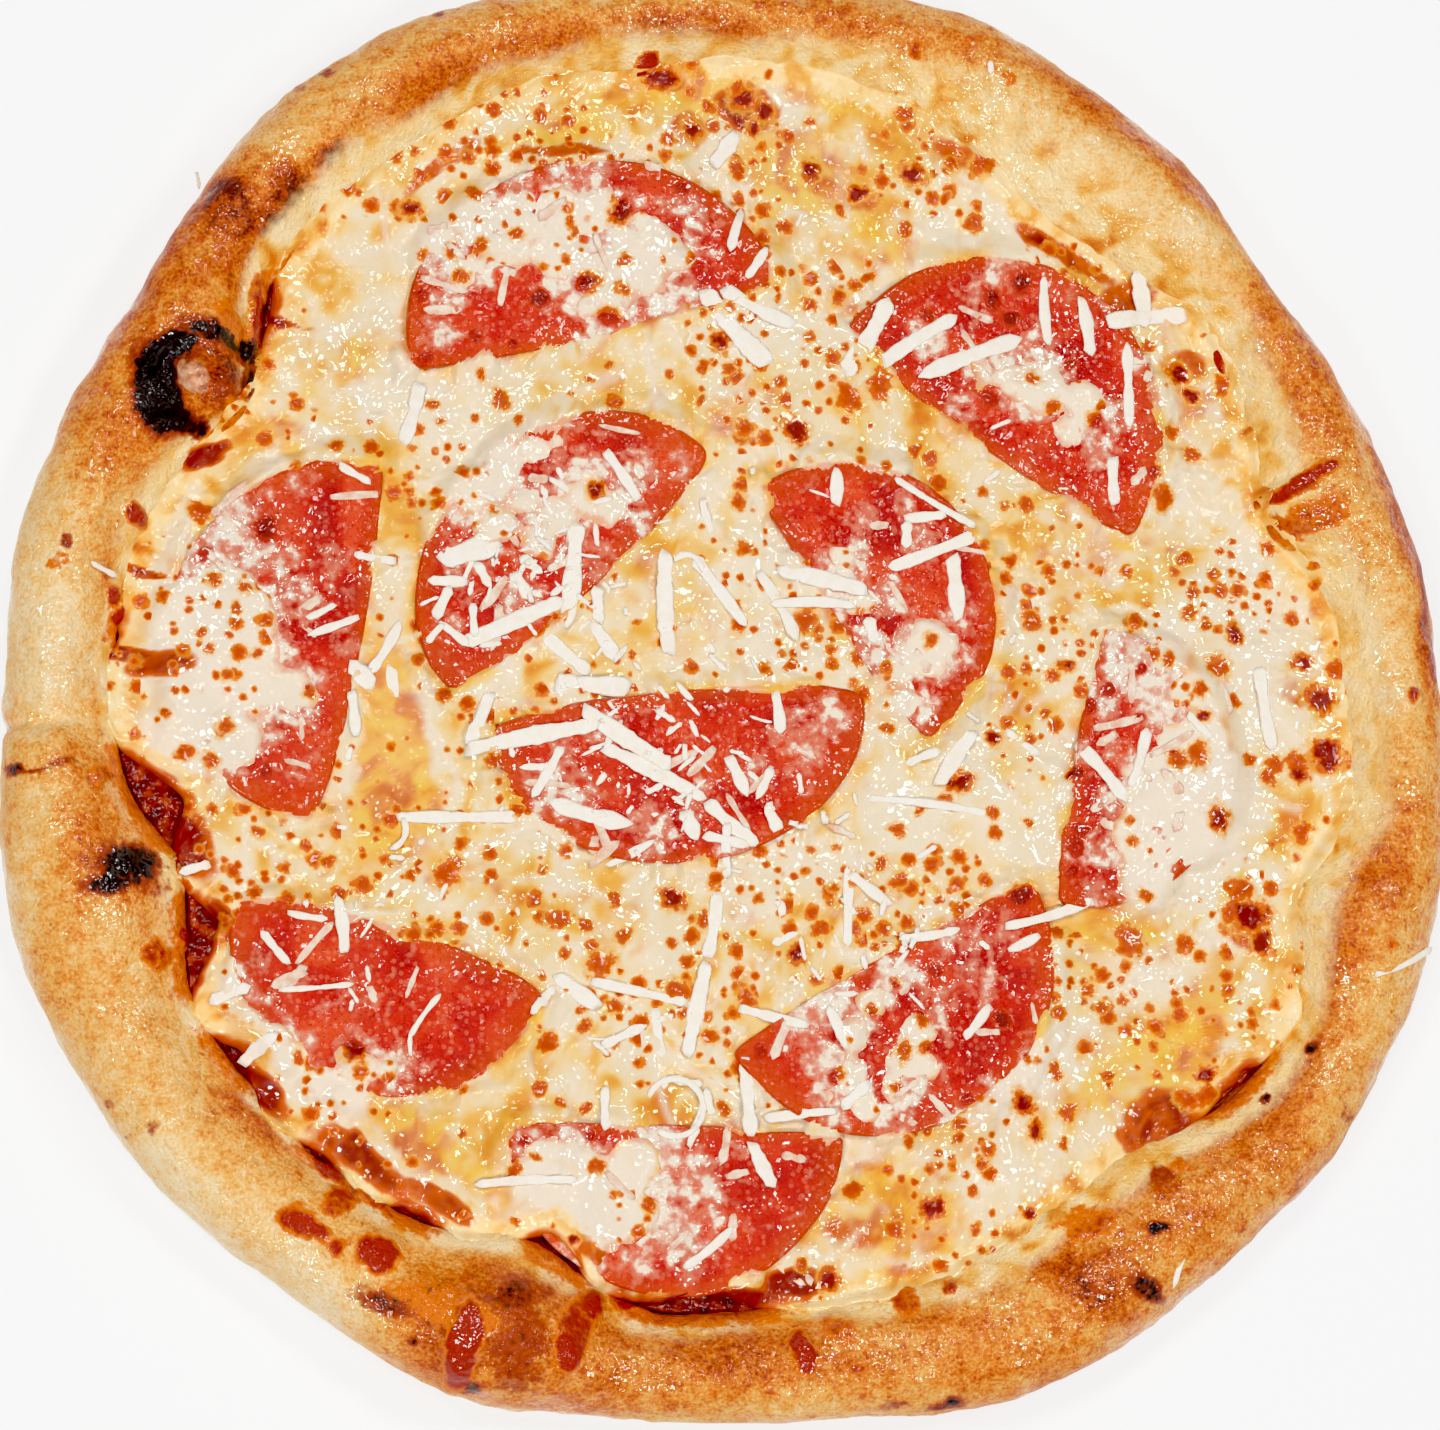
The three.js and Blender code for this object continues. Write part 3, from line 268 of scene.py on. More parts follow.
# dark red, glossy blisters and streaks of the rim:
REDDENED = [
    (119, 45, 8.8, 1.9, 25, 1), (121, 37, 9.2, 3.8, 20, 0.6), (104, 72, 5, 1.5, 105, 0.95),
    (-126, 31.5, 3.1, 1.9, -50, 0.95), (-130.5, 16, 1.5, 1.5, 0, 1), (-128, 12, 1.9, 1.9, 0, 0.7),
    (-121, -58.5, 2.9, 2.5, 0, 0.7), (-114.5, -55, 1.7, 1.7, 0, 0.6), (-132.5, -22.5, 2.1, 1.7, 90, 0.6),
    (-90.5, -112, 5, 2.9, -30, 0.9), (-84.5, -117, 2.1, 2.1, 0, 0.8), (-83, -107.5, 3.8, 2.5, 20, 0.7),
    (-75.5, -118, 4.4, 3.6, -30, 1.1), (-84.5, -101.5, 4.2, 1.7, -30, 0.5),
    (-58.5, -136.5, 9.6, 3.1, 82, 1.15), (-62, -128.5, 12.5, 3.8, -20, 0.4),
    (-35.5, -133.5, 7.1, 3.1, 75, 0.8), (-37, -138, 4.2, 2.5, 80, 1), (-31.5, -129, 3.3, 2.5, 80, 1),
    (11.5, -138.5, 4.2, 2.3, 90, 1), (19.5, -133.5, 2.9, 2.9, 0, 0.6), (22.5, -141, 1.9, 1.3, 0, 0.7),
    (33, -127.5, 2.9, 2.9, 0, 0.6), (43.5, -125, 1.3, 1.3, 0, 0.9), (72.5, -112, 5, 2.5, 20, 0.6),
    (70, -110.5, 6.3, 2.1, 15, 0.4), (90.5, -99.5, 2.1, 1.7, 0, 0.5), (-9, -127.5, 16.7, 1.3, 2, 0.7),
    (-20.5, 131.5, 2.9, 2.5, 0, 1), (-15, 129, 2.1, 1.7, 0, 0.9), (-42, 126, 7.5, 0.8, 15, 0.6),
    (37, 137, 1.3, 1.3, 0, 0.7), (56, 131, 1.3, 1.3, 0, 0.5), (48.5, 139, 1.7, 1, 0, 0.6),
    (143, -0.5, 1.7, 1.3, 90, 1), (137.5, -53.5, 1.5, 1, 0, 0.6), (132, -51.5, 1, 1, 0, 0.4),
    (127.5, -55, 1.3, 1, 0, 0.4), (109, -47, 5.4, 5, 60, 0.7), (111.5, -42.5, 2.5, 2.5, 0, 0.6),
    (-51.5, 121.5, 2.5, 2.5, 0, 0.2), (-115, 10.5, 1.3, 1.3, 0, 0.2), (-97, -83.5, 4.2, 2.1, 140, 0.4),
    (-108.5, -67, 4.2, 1.7, 80, 0.5), (-105.5, -71, 4.2, 1.7, 60, 0.4), (-93, -91.5, 4.2, 1.7, 140, 0.4),
    (-78.5, -105.5, 6.3, 1.7, 150, 0.5), (-141.5, 21, 2.1, 1.3, 0, 0.4), (79.5, -116, 2.1, 1, 0, 0.3),
    (4.5, -125.5, 8.4, 1, 5, 0.6), (-108, 70.5, 5, 2.9, 100, 0.5), (-102.5, 71.5, 8.4, 1, 80, 0.9),
    (-105, 53, 4.2, 4.2, 30, 0.5), (-110.5, 48.5, 7.1, 1.7, 35, 0.6), (-102.5, 80, 3.3, 1.7, 80, 0.4),
    (-93.5, 89.5, 6.3, 1.3, 50, 0.5), (-77, 105, 12.5, 1, 35, 0.7),
]
# grated shreds: x, y, bearing, length, width
SHREDS = [
    (-1.5, 76, -47, 22, 3.6), (3.5, 80.5, -24, 18.5, 2.7), (-1.5, 97, -107, 11, 1.7), (3, 90, -122, 9, 1.7),
    (-69.5, 55.5, -104, 14.5, 2.7), (27, 75, -120, 20, 3.6), (38, 75, -147, 20.5, 2.7),
    (49, 71.5, -158, 25.5, 3.1), (74.5, 79, -80, 14, 2.5), (88, 81.5, -172, 19.5, 3.1),
    (87, 85.5, -83, 13.5, 3.3), (65.5, 82, -87, 16, 1.9), (83.5, 66.5, -89, 19.5, 1.9),
    (80, 45.5, -89, 11.5, 2.1), (41, 39.5, -30, 21, 1.3), (40.5, 29, -158, 21, 2.3),
    (45.5, 21.5, -85, 15, 2.7), (39, 36.5, 7, 10, 1.9), (35, 32.5, -90, 6.5, 1.9), (20, 42.5, -90, 9, 2.5),
    (17, 22.5, -12, 20.5, 3.1), (8, 17, -60, 18, 2.1), (15, 17.5, 0, 19, 1.9), (27.5, 12, -75, 6.5, 2.5),
    (-36, 22, -95, 23.5, 3.3), (-48, 12, -155, 24, 3.1), (-57.5, 26.5, -162, 14.5, 4.2),
    (-62, 20, -1, 9.5, 2.1), (-63, 15.5, -115, 8.5, 2.1), (-60.5, 9, -37, 9, 1.5), (-64.5, 9, -131, 6, 1.3),
    (-37, 5.5, -38, 13.5, 2.7), (-29, 8.5, -55, 11, 2.9), (-16, 17, -88, 23, 3.1),
    (-4.5, 19.5, -52, 19, 2.3), (-31.5, -1, 0, 17, 3.6), (-44.5, 24, -39, 6.5, 1.9),
    (-54.5, 21.5, -61, 7, 1.7), (-46.5, 19.5, -56, 7.5, 2.3), (-25.5, 43.5, -55, 13.5, 1.9),
    (-30.5, 16, -84, 8.5, 2.3), (-56.5, 12, -87, 8, 1.5), (-44, -12, 12, 29.5, 3.1),
    (-24.5, -12, -32, 23, 3.1), (-18.5, -19, -26, 25, 2.9), (-41, -19.5, -119, 13.5, 1.9),
    (-32, -28, -15, 19.5, 3.1), (-1, -19.5, -64, 10.5, 2.3), (4.5, -21, -116, 8.5, 1.7),
    (-2.5, -29.5, -41, 15, 2.5), (-11, -30, -67, 7.5, 2.9), (-3.5, -33, -12, 11, 1.9),
    (6.5, -29, -62, 9, 2.3), (7.5, -6, -82, 10, 2.1), (-23.5, -36, -151, 12.5, 1.5),
    (-3.5, -35, -90, 12.5, 1.7), (-59.5, -29, 1, 26, 2.1), (-55, -8.5, 67, 13, 2.5),
    (-43.5, -18.5, 1, 7.5, 1.5), (77, -17, -49, 17.5, 2.5), (85, -14, -106, 14.5, 2.1),
    (98, -7, -46, 8.5, 1.5), (113, -2.5, -81, 19, 2.3), (65, -47.5, 17, 21, 1.9),
    (22.5, -46, -92, 18.5, 1.9), (27, -42.5, -38, 12, 2.1), (39.5, -52, 8, 14, 1.7),
    (6.5, -69.5, -14, 16, 1.9), (20, -71.5, -64, 11, 2.1), (1, -86, -86, 17.5, 2.5),
    (4, -100, -64, 11.5, 2.7), (23.5, -85.5, -139, 9, 2.1), (12, -89.5, -174, 16, 1.7),
    (49.5, -70, -127, 10, 1.9), (59.5, -53.5, -153, 8.5, 1.9), (-9.5, -91.5, -111, 11.5, 1.5),
    (-7, -117, -140, 14.5, 1.7), (-83, -51.5, -81, 13, 2.3), (-90, -50, -9, 9.5, 1.3),
    (-96.5, -56.5, -50, 10, 1.5), (-88, -64.5, 5, 16.5, 1), (-99.5, -77, 43, 10.5, 2.5),
    (-105.5, -66, 22, 10, 2.1), (-34.5, -64.5, -35, 12.5, 2.9), (-41.5, -66.5, 49, 9, 1.9),
    (-66, -70, 56, 12.5, 1), (-113, -40.5, 19, 7.5, 1.7), (-81.5, 42, -28, 8.5, 1.5),
    (-77, 24.5, -8, 10, 1.5), (-88, 13, 28, 7.5, 1.3), (-85.5, 10, 21, 12.5, 1.5),
    (-74.5, 6, -119, 14, 1.9), (-79.5, 0, -42, 8, 3.3), (-73, -1, -84, 9, 2.1), (-81, -8, -83, 10.5, 1.9),
    (-21.5, -64.5, -12, 21.5, 1.9), (-6, -50.5, -98, 15, 2.5), (-9.5, -68, -102, 21, 2.9),
    (-24.5, -73.5, 26, 11.5, 1.9), (-17.5, -73, -82, 11.5, 1.9), (8.5, -48, -85, 7, 1.5),
    (9.5, -52.5, 32, 8, 1.9), (-17.5, -84.5, 36, 5.5, 1.5), (-11.5, -83, -9, 7.5, 1.5),
    (-7, -87, -79, 6.5, 1.5), (-28.5, -88.5, -90, 10, 1.7), (-7.5, 35.5, -72, 8.5, 1.5),
    (39.5, -24.5, -6, 27, 1.5), (45.5, -14.5, -124, 15, 3.1), (38.5, -14.5, 24, 9, 1.7),
    (60, -11, -37, 10, 1.3), (-3.5, 115, -125, 10, 3.1), (-45, -103.5, 3, 22, 1.7), (69, 117, -90, 7.5, 1),
    (52.5, 133, -85, 3.5, 1.3), (-132.5, 20, -21, 6.5, 1), (90, -120.5, -101, 10.5, 1.3),
    (140, -57, 23, 16.5, 1.5),
]

# crumbs and chips of them: middle of the heap, its spread and their count
CHIP_PILES = [
    (-42, 25, 9, 44), (-14, -16, 8, 36), (-10, -12, 30, 40),
    (32, -62, 10, 14), (-76, -52, 10, 12), (12, 60, 40, 24),
]

# shreds that curl up: as above, and how far each turns
CURLED_SHREDS = [(-13, -88, 100, 31, 1.2, 290), (-71, -33, 60, 9, 1.2, 110), (-11, 26, 150, 10, 1.1, 160)]


# ---- numbers and noise ----
def smoothstep(value, low, high):
    t = np.clip((value - low) / (high - low), 0, 1)
    return t * t * (3 - 2 * t)


def bell(value, width):
    return np.exp(-((value / width) ** 2))


def dome(value):
    return np.sqrt(np.clip(1 - value**2, 0, 1))


def spline(before, first, second, after, t):
    """A smooth curve from the first to the second of these evenly spaced values, as t runs from 0 to 1."""
    bend = 2 * before - 5 * first + 4 * second - after + t * (3 * (first - second) + after - before)
    return first + 0.5 * t * (second - before + t * bend)


def around(values, bearing):
    """A smooth closed curve through values that are evenly spaced round the pizza."""
    values = np.asarray(values, float)
    place = np.mod(bearing, 360) / 360 * len(values)
    first = np.floor(place).astype(int)
    near = [values[(first + step) % len(values)] for step in (-1, 0, 1, 2)]
    return spline(*near, place - first)


def bearing_of(x, y):
    return np.degrees(np.arctan2(y, x))


def bearing_bump(bearing, middle, half_width):
    return bell(np.mod(bearing - middle + 180, 360) - 180, half_width)


def bay_depth(bearing):
    bays = [depth * bearing_bump(bearing, middle, width) for middle, width, depth in CHEESE_BAYS]
    return np.max(bays, axis=0)


def turned(x, y, turn):
    """How far a place lies along a direction, given in radians, and how far to its left."""
    return x * np.cos(turn) + y * np.sin(turn), y * np.cos(turn) - x * np.sin(turn)


HASH_FACTORS = (374761393, 668265263, 1442695041)
HASH_STEP = 974634777
HASH_SPREAD = 1274126177


def hashed(cells, seed):
    """An even random number from -1 to 1 for each cell."""
    mixed = sum(axis * factor for axis, factor in zip(cells, HASH_FACTORS))
    mixed = (mixed + seed * HASH_STEP) & 0xFFFFFFFF
    mixed = ((mixed ^ (mixed >> 13)) * HASH_SPREAD) & 0xFFFFFFFF
    return ((mixed ^ (mixed >> 16)) & 0xFFFF) / 32767.5 - 1.0


def noise(axes, size, seed):
    """Smooth noise from -1 to 1 whose features have about this size."""
    scaled = [np.asarray(axis, float) / size for axis in axes]
    cells = [np.floor(axis).astype(np.int64) for axis in scaled]
    parts = [axis - cell for axis, cell in zip(scaled, cells)]
    parts = [t * t * t * (t * (t * 6 - 15) + 10) for t in parts]
    total = 0
    for corner in range(2 ** len(axes)):
        weight = 1
        corner_cells = []
        for i, (cell, part) in enumerate(zip(cells, parts)):
            far = (corner >> i) & 1
            weight = weight * (part if far else 1 - part)
            corner_cells.append(cell + far)
        total = total + weight * hashed(corner_cells, seed)
    return total


def rough(axes, size, seed, octaves=3):
    return sum(0.5**k * noise(axes, size / 2**k, seed + 17 * k) for k in range(octaves))


CLOUD_SPAN = 0.32


def cloud(axes, size, seed, swirl=0.0, octaves=3):
    """Clouds of rough noise round a mean of 0.5, for colours."""
    bent = [axis + swirl * noise(axes, size, seed + 91 + i) for i, axis in enumerate(axes)]
    return 0.5 + CLOUD_SPAN * rough(bent, size, seed, octaves) / (2 - 0.5 ** (octaves - 1))


def film_patches(axes):
    """Where the film of fat is thick: 0.2 to 1."""
    return 0.2 + 0.8 * smoothstep(cloud(axes, 10, 80, 3), 0.42, 0.58)


def shifted(axes, seed, waves, apart=2):
    """The points' x and y, shifted by waves of noise: the amount and size of each."""
    return [
        axis + sum(amount * noise(axes, size, seed + apart * i + k) for k, (amount, size) in enumerate(waves))
        for i, axis in enumerate(axes[:2])
    ]


def ovals(x, y, rows, soft=0.45):
    """The strongest, and the sum, of the oval zones at each point."""
    strongest = np.zeros(np.shape(x))
    total = np.zeros(np.shape(x))
    for middle_x, middle_y, half_length, half_width, bearing, strength in rows:
        along, beside = turned(x - middle_x, y - middle_y, np.radians(bearing))
        out = np.hypot(along / half_length, beside / half_width)
        value = strength * (1 - smoothstep(out, 1 - soft, 1 + soft))
        strongest = np.maximum(strongest, value)
        total = total + value
    return strongest, total


FAR_OUTSIDE = -50.0


def discs(x, y, rows):
    """How far inside the union of round patches each point lies, in millimetres."""
    depth = np.full(np.shape(x), FAR_OUTSIDE)
    for middle_x, middle_y, radius in rows:
        inside = radius - np.hypot(x - middle_x, y - middle_y)
        high, low = np.maximum(depth, inside), np.minimum(depth, inside)
        depth = high + 0.6 * np.exp(-(high - low) / 1.5)
    return depth


# ---- meshes ----
def make_piece(name, points, faces, fields, material, replaced=None):
    """A closed piece from points in millimetres and lists of faces, with one number per point in a field."""
    mesh = bpy.data.meshes.new(name)
    points = np.asarray(points, np.float32) * MM
    sizes = np.concatenate([np.full(len(group), len(group[0])) for group in faces])
    corners = np.concatenate([np.asarray(group).ravel() for group in faces])
    mesh.vertices.add(len(points))
    mesh.vertices.foreach_set("co", points.ravel())
    mesh.loops.add(len(corners))
    mesh.loops.foreach_set("vertex_index", corners.astype(np.int32))
    mesh.polygons.add(len(sizes))
    mesh.polygons.foreach_set("loop_start", np.concatenate([[0], np.cumsum(sizes)[:-1]]).astype(np.int32))
    mesh.polygons.foreach_set("use_smooth", np.ones(len(sizes), bool))
    mesh.update(calc_edges=True)
    for field, values in fields.items():
        layer = mesh.attributes.new(field, "FLOAT", "POINT")
        layer.data.foreach_set("value", np.asarray(values, np.float32).ravel())
    mesh.materials.append(material)
    piece = bpy.data.objects.new(name, mesh)
    bpy.context.scene.collection.objects.link(piece)
    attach(piece, "root")
    if replaced:
        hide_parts(replaced)


def ring_faces(first, second):
    """Quads between two closed rings of as many points, the second one inward or upward of the first."""
    return np.stack([first, np.roll(first, -1), np.roll(second, -1), second], axis=1)


def fan_faces(ring, middle, upward):
    after = np.roll(ring, -1)
    hub = np.full(len(ring), middle)
    return np.stack([ring, after, hub] if upward else [after, ring, hub], axis=1)


def ring_mesh(rings, top_hub, bottom_hub):
    """Points and faces of closed rings from the bottom to the top, and of the fans that close both ends."""
    points = np.concatenate([rings.reshape(-1, 3), [top_hub, bottom_hub]])
    top, bottom = len(points) - 2, len(points) - 1
    rows = np.arange(top).reshape(len(rings), -1)
    quads = np.concatenate([ring_faces(low, high) for low, high in zip(rows[:-1], rows[1:])])
    fans = np.concatenate([fan_faces(rows[-1], top, True), fan_faces(rows[0], bottom, False)])
    return points, [quads, fans]


# ---- the rim and base ----
RIM_STEPS = 1000                    # points in each ring round the pizza
RIM_ROWS = 86                       # rings from the outer foot over the crest to the base
RIM_WIDTH_AND_HEIGHT = (28, 18.5)   # where it is as usual
CRATER = (-114.5, 60)               # the burst, charred blister
CREASE_BEARING = 184.6
HIDDEN_SKIN = {"toast": 0.3, "film": 0.3, "tone": 0.5}


def rim_profile():
    """The section's points, evenly close along the skin, from the outer foot over the crest to the base."""
    section = np.array(RIM_SECTION)
    last = len(section) - 1
    place = np.linspace(0, last, 400)
    first = np.clip(np.floor(place).astype(int), 0, last - 1)
    near = [section[np.clip(first + step, 0, last)] for step in (-1, 0, 1, 2)]
    curve = spline(*near, (place - first)[:, None])
    run = np.r_[0, np.cumsum(np.hypot(*(np.diff(curve, axis=0) * RIM_WIDTH_AND_HEIGHT).T))]
    even = np.linspace(0, run[-1], RIM_ROWS)
    return np.interp(even, run, curve[:, 0]), np.interp(even, run, curve[:, 1])


def rim_point(across, up, bearing):
    inner, outer = around(INNER, bearing), around(OUTER, bearing)
    radius = inner + (across - 1) * (outer - inner)
    swelling = sum(
        rise * bearing_bump(bearing, middle, half_width) * bell(across - place, spread)
        for middle, half_width, place, spread, rise in SWELLINGS
    )
    height = up * around(CREST, bearing) + swelling * smoothstep(up, 0.3, 0.9)
    turn = np.radians(bearing)
    return np.stack([radius * np.cos(turn), radius * np.sin(turn), height], axis=-1)


def grid_normals(points):
    """Outward unit normals of a grid whose first axis runs up the skin and whose second runs round it."""
    up = np.gradient(points, axis=0)
    along = np.roll(points, -1, axis=1) - np.roll(points, 1, axis=1)
    normal = np.cross(along, up)
    return normal / np.linalg.norm(normal, axis=-1, keepdims=True)


def crust_relief(points, across, up):
    """How far the skin stands out from the plain form."""
    axes = [points[..., i] for i in range(3)]
    lumps = 0.75 * rough(axes, 26, 1) + 0.4 * noise(axes, 8, 2)
    lumps = lumps + 0.2 * noise(axes, 3.6, 3) + 0.1 * noise(axes, 1.7, 4)
    x, y = shifted(axes, 5, [(0.8, 4)], 1)
    blisters, _ = ovals(x, y, REDDENED, 0.5)
    burnt, _ = ovals(x, y, CHARRED)
    away = np.hypot(x - CRATER[0], y - CRATER[1])
    crater = 1.3 * bell(away - 6.5, 2.2) - 3.2 * (1 - smoothstep(away, 1.5, 5))
    crease = -1.2 * bearing_bump(bearing_of(*axes[:2]), CREASE_BEARING, 0.45) * smoothstep(across, 1.3, 1.6)
    relief = lumps + 1.2 * blisters + 0.35 * burnt * noise(axes, 1.6, 7) + crater + crease
    return relief * smoothstep(up, 0.02, 0.3)


def crust_fields(points, across, up):
    """What the crust's material goes by: how toasted, burnt, red, torn and wet the skin is, and where cheese
    film lies on its inner slope, a field that also marks where that slope is painted lighter, as painted
    light.
    """
    axes = [points[..., i] for i in range(3)]
    bearing = bearing_of(*axes[:2])
    x, y = shifted(axes, 8, [(1.1, 5), (0.5, 2)])
    away = np.hypot(x - CRATER[0], y - CRATER[1])
    upper = np.where(across > 1.6, smoothstep(up, 0.5, 0.8), 1)
    char = ovals(x, y, CHARRED, 0.6)[0] * upper
    red = ovals(x, y, REDDENED, 0.4)[0] * upper
    red = red + 0.5 * smoothstep(bay_depth(bearing), 0.5, 3) * (1 - smoothstep(across, 1.04, 1.2))
    _, toasted = ovals(x, y, TOASTED, 0.7)
    toast = 0.43 + 0.07 * rough(axes, 18, 12) + 0.05 * noise(axes, 4, 13) + 0.62 * toasted
    # low on the outer wall: darker round bearing 312, paler elsewhere
    foot = 0.55 * bearing_bump(bearing, 312, 42) - 0.25
    toast = toast + foot * (1 - smoothstep(up, 0.2, 0.75)) * smoothstep(across, 1.5, 1.8)
    toast = toast + 0.3 * bell(away - 6, 3.5)
    # where cheese film lies on the rim's inner slope, wider towards bearing 45; the shader paints this slope
    # in lighter tones, painted light that stands in for light on the inward-facing slope
    reach = 0.16 + 0.22 * bearing_bump(bearing, 45, 85) + 0.08 * noise(axes, 14, 14)
    cheese_film_and_painted_light = (1 - smoothstep(across, 1 + 0.3 * reach, 1 + 1.7 * reach)) * smoothstep(away, 7, 11)
    wet = np.maximum(smoothstep(cloud(axes, 9, 81, 3), 0.34, 0.56), smoothstep(red, 0.3, 0.6))
    return {
        "toast": toast,
        "char": char,
        "red": red,
        "crumb": 1 - smoothstep(away, 2.4, 4.4),
        "cheese_film_and_painted_light": cheese_film_and_painted_light,
        "film": film_patches(axes) * (0.3 + 0.7 * np.maximum(wet, 0.7 * cheese_film_and_painted_light)),
        "tone": cloud(axes, 5.5, 82, 3, 4),
    }


SKIN_PITCH = 0.1
SKIN_REACH = 12     # as far up the rim as the cheese may lap


def skin_heights(points):
    """The skin's height for each bearing and, from the inner edge outward, for each step of SKIN_PITCH."""
    radius = np.hypot(points[..., 0], points[..., 1])
    inner = around(INNER, np.arange(RIM_STEPS) / RIM_STEPS * 360)
    out = np.arange(0, SKIN_REACH, SKIN_PITCH)
    heights = []
    for i in range(RIM_STEPS):
        crest = np.argmax(points[:, i, 2])
        foot = crest + np.argmin(radius[crest:, i])
        slope = slice(foot, crest - 1, -1)
        outward = np.maximum.accumulate(radius[slope, i])
        heights.append(np.interp(inner[i] + out, outward, points[slope, i, 2]))
    return np.array(heights)


def on_skin(x, y, skin):
    bearing = np.mod(bearing_of(x, y), 360)
    out = (np.hypot(x, y) - around(INNER, bearing)) / SKIN_PITCH
    column = np.rint(bearing / 360 * RIM_STEPS).astype(int) % RIM_STEPS
    row = np.clip(out.astype(int), 0, skin.shape[1] - 1)
    return np.where(out < 0, 0, skin[column, row])


def crust(material):
    across, up = rim_profile()
    bearing = np.broadcast_to(np.arange(RIM_STEPS) / RIM_STEPS * 360, (RIM_ROWS, RIM_STEPS))
    across, up = across[:, None] + 0 * bearing, up[:, None] + 0 * bearing
    points = rim_point(across, up, bearing)
    points = points + grid_normals(points) * crust_relief(points, across, up)[..., None]
    points[..., 2] = np.maximum(points[..., 2], 0)
    underside = points[0] * (0.96, 0.96, 0)
    base = points[-1] * (0.97, 0.97, 0) + (0, 0, BASE_THICKNESS)
    rings = np.concatenate([underside[None], points, base[None]])
    all_points, faces = ring_mesh(rings, (0, 0, BASE_THICKNESS), (0, 0, 0))
    fields = {}
    for field, values in crust_fields(points, across, up).items():
        hidden = np.full(RIM_STEPS + 2, HIDDEN_SKIN.get(field, 0))
        fields[field] = np.r_[hidden[2:], values.ravel(), hidden]
    make_piece("crust_skin", all_points, faces, fields, material, "crust")
    return skin_heights(points)


# ---- sauce ----
SAUCE_STEPS = 720
SAUCE_HIDDEN_TOP = SAUCE_TOP - 0.4


def sauce(material):
    bearing = np.arange(SAUCE_STEPS) / SAUCE_STEPS * 360
    turn = np.radians(bearing)
    parts = np.array([0.3, 0.6, 0.72, 0.78, *np.linspace(0.81, 1, 34)])
    radius = parts[:, None] * (around(INNER, bearing) - 0.2)
    x, y = radius * np.cos(turn), radius * np.sin(turn)
    edge = 0.6 * smoothstep(parts, 0.93, 1)[:, None]
    z = SAUCE_TOP + 0.5 * rough([x, y], 7, 31) + 0.25 * noise([x, y], 2, 32) + edge
    z = np.maximum(z, SAUCE_TOP - 0.5)
    z[parts < 0.8] = SAUCE_HIDDEN_TOP
    top = np.stack([x, y, z], axis=-1)
    foot = top[-1] * (1, 1, 0) + (0, 0, SAUCE_BOTTOM)
    rings = np.concatenate([foot[None], top[::-1]])
    points, faces = ring_mesh(rings, (0, 0, SAUCE_HIDDEN_TOP), (0, 0, SAUCE_BOTTOM))
    make_piece("sauce_layer", points, faces, {}, material, "sauce")


# ---- heights of what lies inside the rim ----
def slice_place(x, y, half_slice):
    """How far out in a slice each point lies, 1 at its round edge, and how far inside it, in millimetres."""
    middle_x, middle_y, half, depth, bow, bearing = half_slice
    along, beside = turned(x - middle_x, y - middle_y, np.radians(bearing))
    part = np.hypot(along / half, np.maximum(beside, 0) / depth)
    cut_edge = -bow * dome(along / half)
    return part, np.minimum(beside - cut_edge, (1 - part) * 0.5 * (half + depth))


def on_slice(along, beside, half_slice):
    """The place on the pizza of what lies so far along a slice's cut edge and beside it."""
    middle_x, middle_y, *_, bearing = half_slice
    dx, dy = turned(along, beside, -np.radians(bearing))
    return middle_x + dx, middle_y + dy


def slice_rise(part):
    return SLICE_CUP * np.minimum(part, 1) ** 3


def slice_top(x, y, part):
    wave = 0.12 * noise([x, y], 9, 41) + 0.06 * noise([x, y], 3, 42)
    return SLICE_BOTTOM + SLICE_THICKNESS + slice_rise(part) + wave


def cheese_edge(bearing):
    bay = bay_depth(bearing)
    turn = np.radians(bearing)
    ring = [120 * np.cos(turn), 120 * np.sin(turn)]
    ragged = 0.7 * noise(ring, 7, 43) + 0.5 * noise(ring, 3, 44)
    return around(INNER, bearing) + 3.5 - bay * 1.5 + ragged * smoothstep(bay, 0, 1.5)


def free_edge(bearing):
    """1 where the cheese ends on the sauce, 0 where it ends on the rim."""
    return smoothstep(around(INNER, bearing) - cheese_edge(bearing), -2, 1)


def plain_cheese(x, y):
    wave = np.sin(x / 9 + 1.3 * np.sin(y / 14)) * np.cos(y / 11 + 0.8 * np.sin(x / 17))
    bearing = bearing_of(x, y)
    to_edge = np.hypot(x, y) - cheese_edge(bearing)
    return CHEESE_TOP + CHEESE_WAVE * wave - 1.2 * free_edge(bearing) * smoothstep(to_edge, -6, 0)


def cover_depth(x, y):
    return discs(x, y, COVERS) + 0.9 * noise([x, y], 3.2, 45) + 0.35 * noise([x, y], 1.4, 46)


SLICE_SHOWS = 0.4   # how far inside a slice's edge it comes out of the cheese


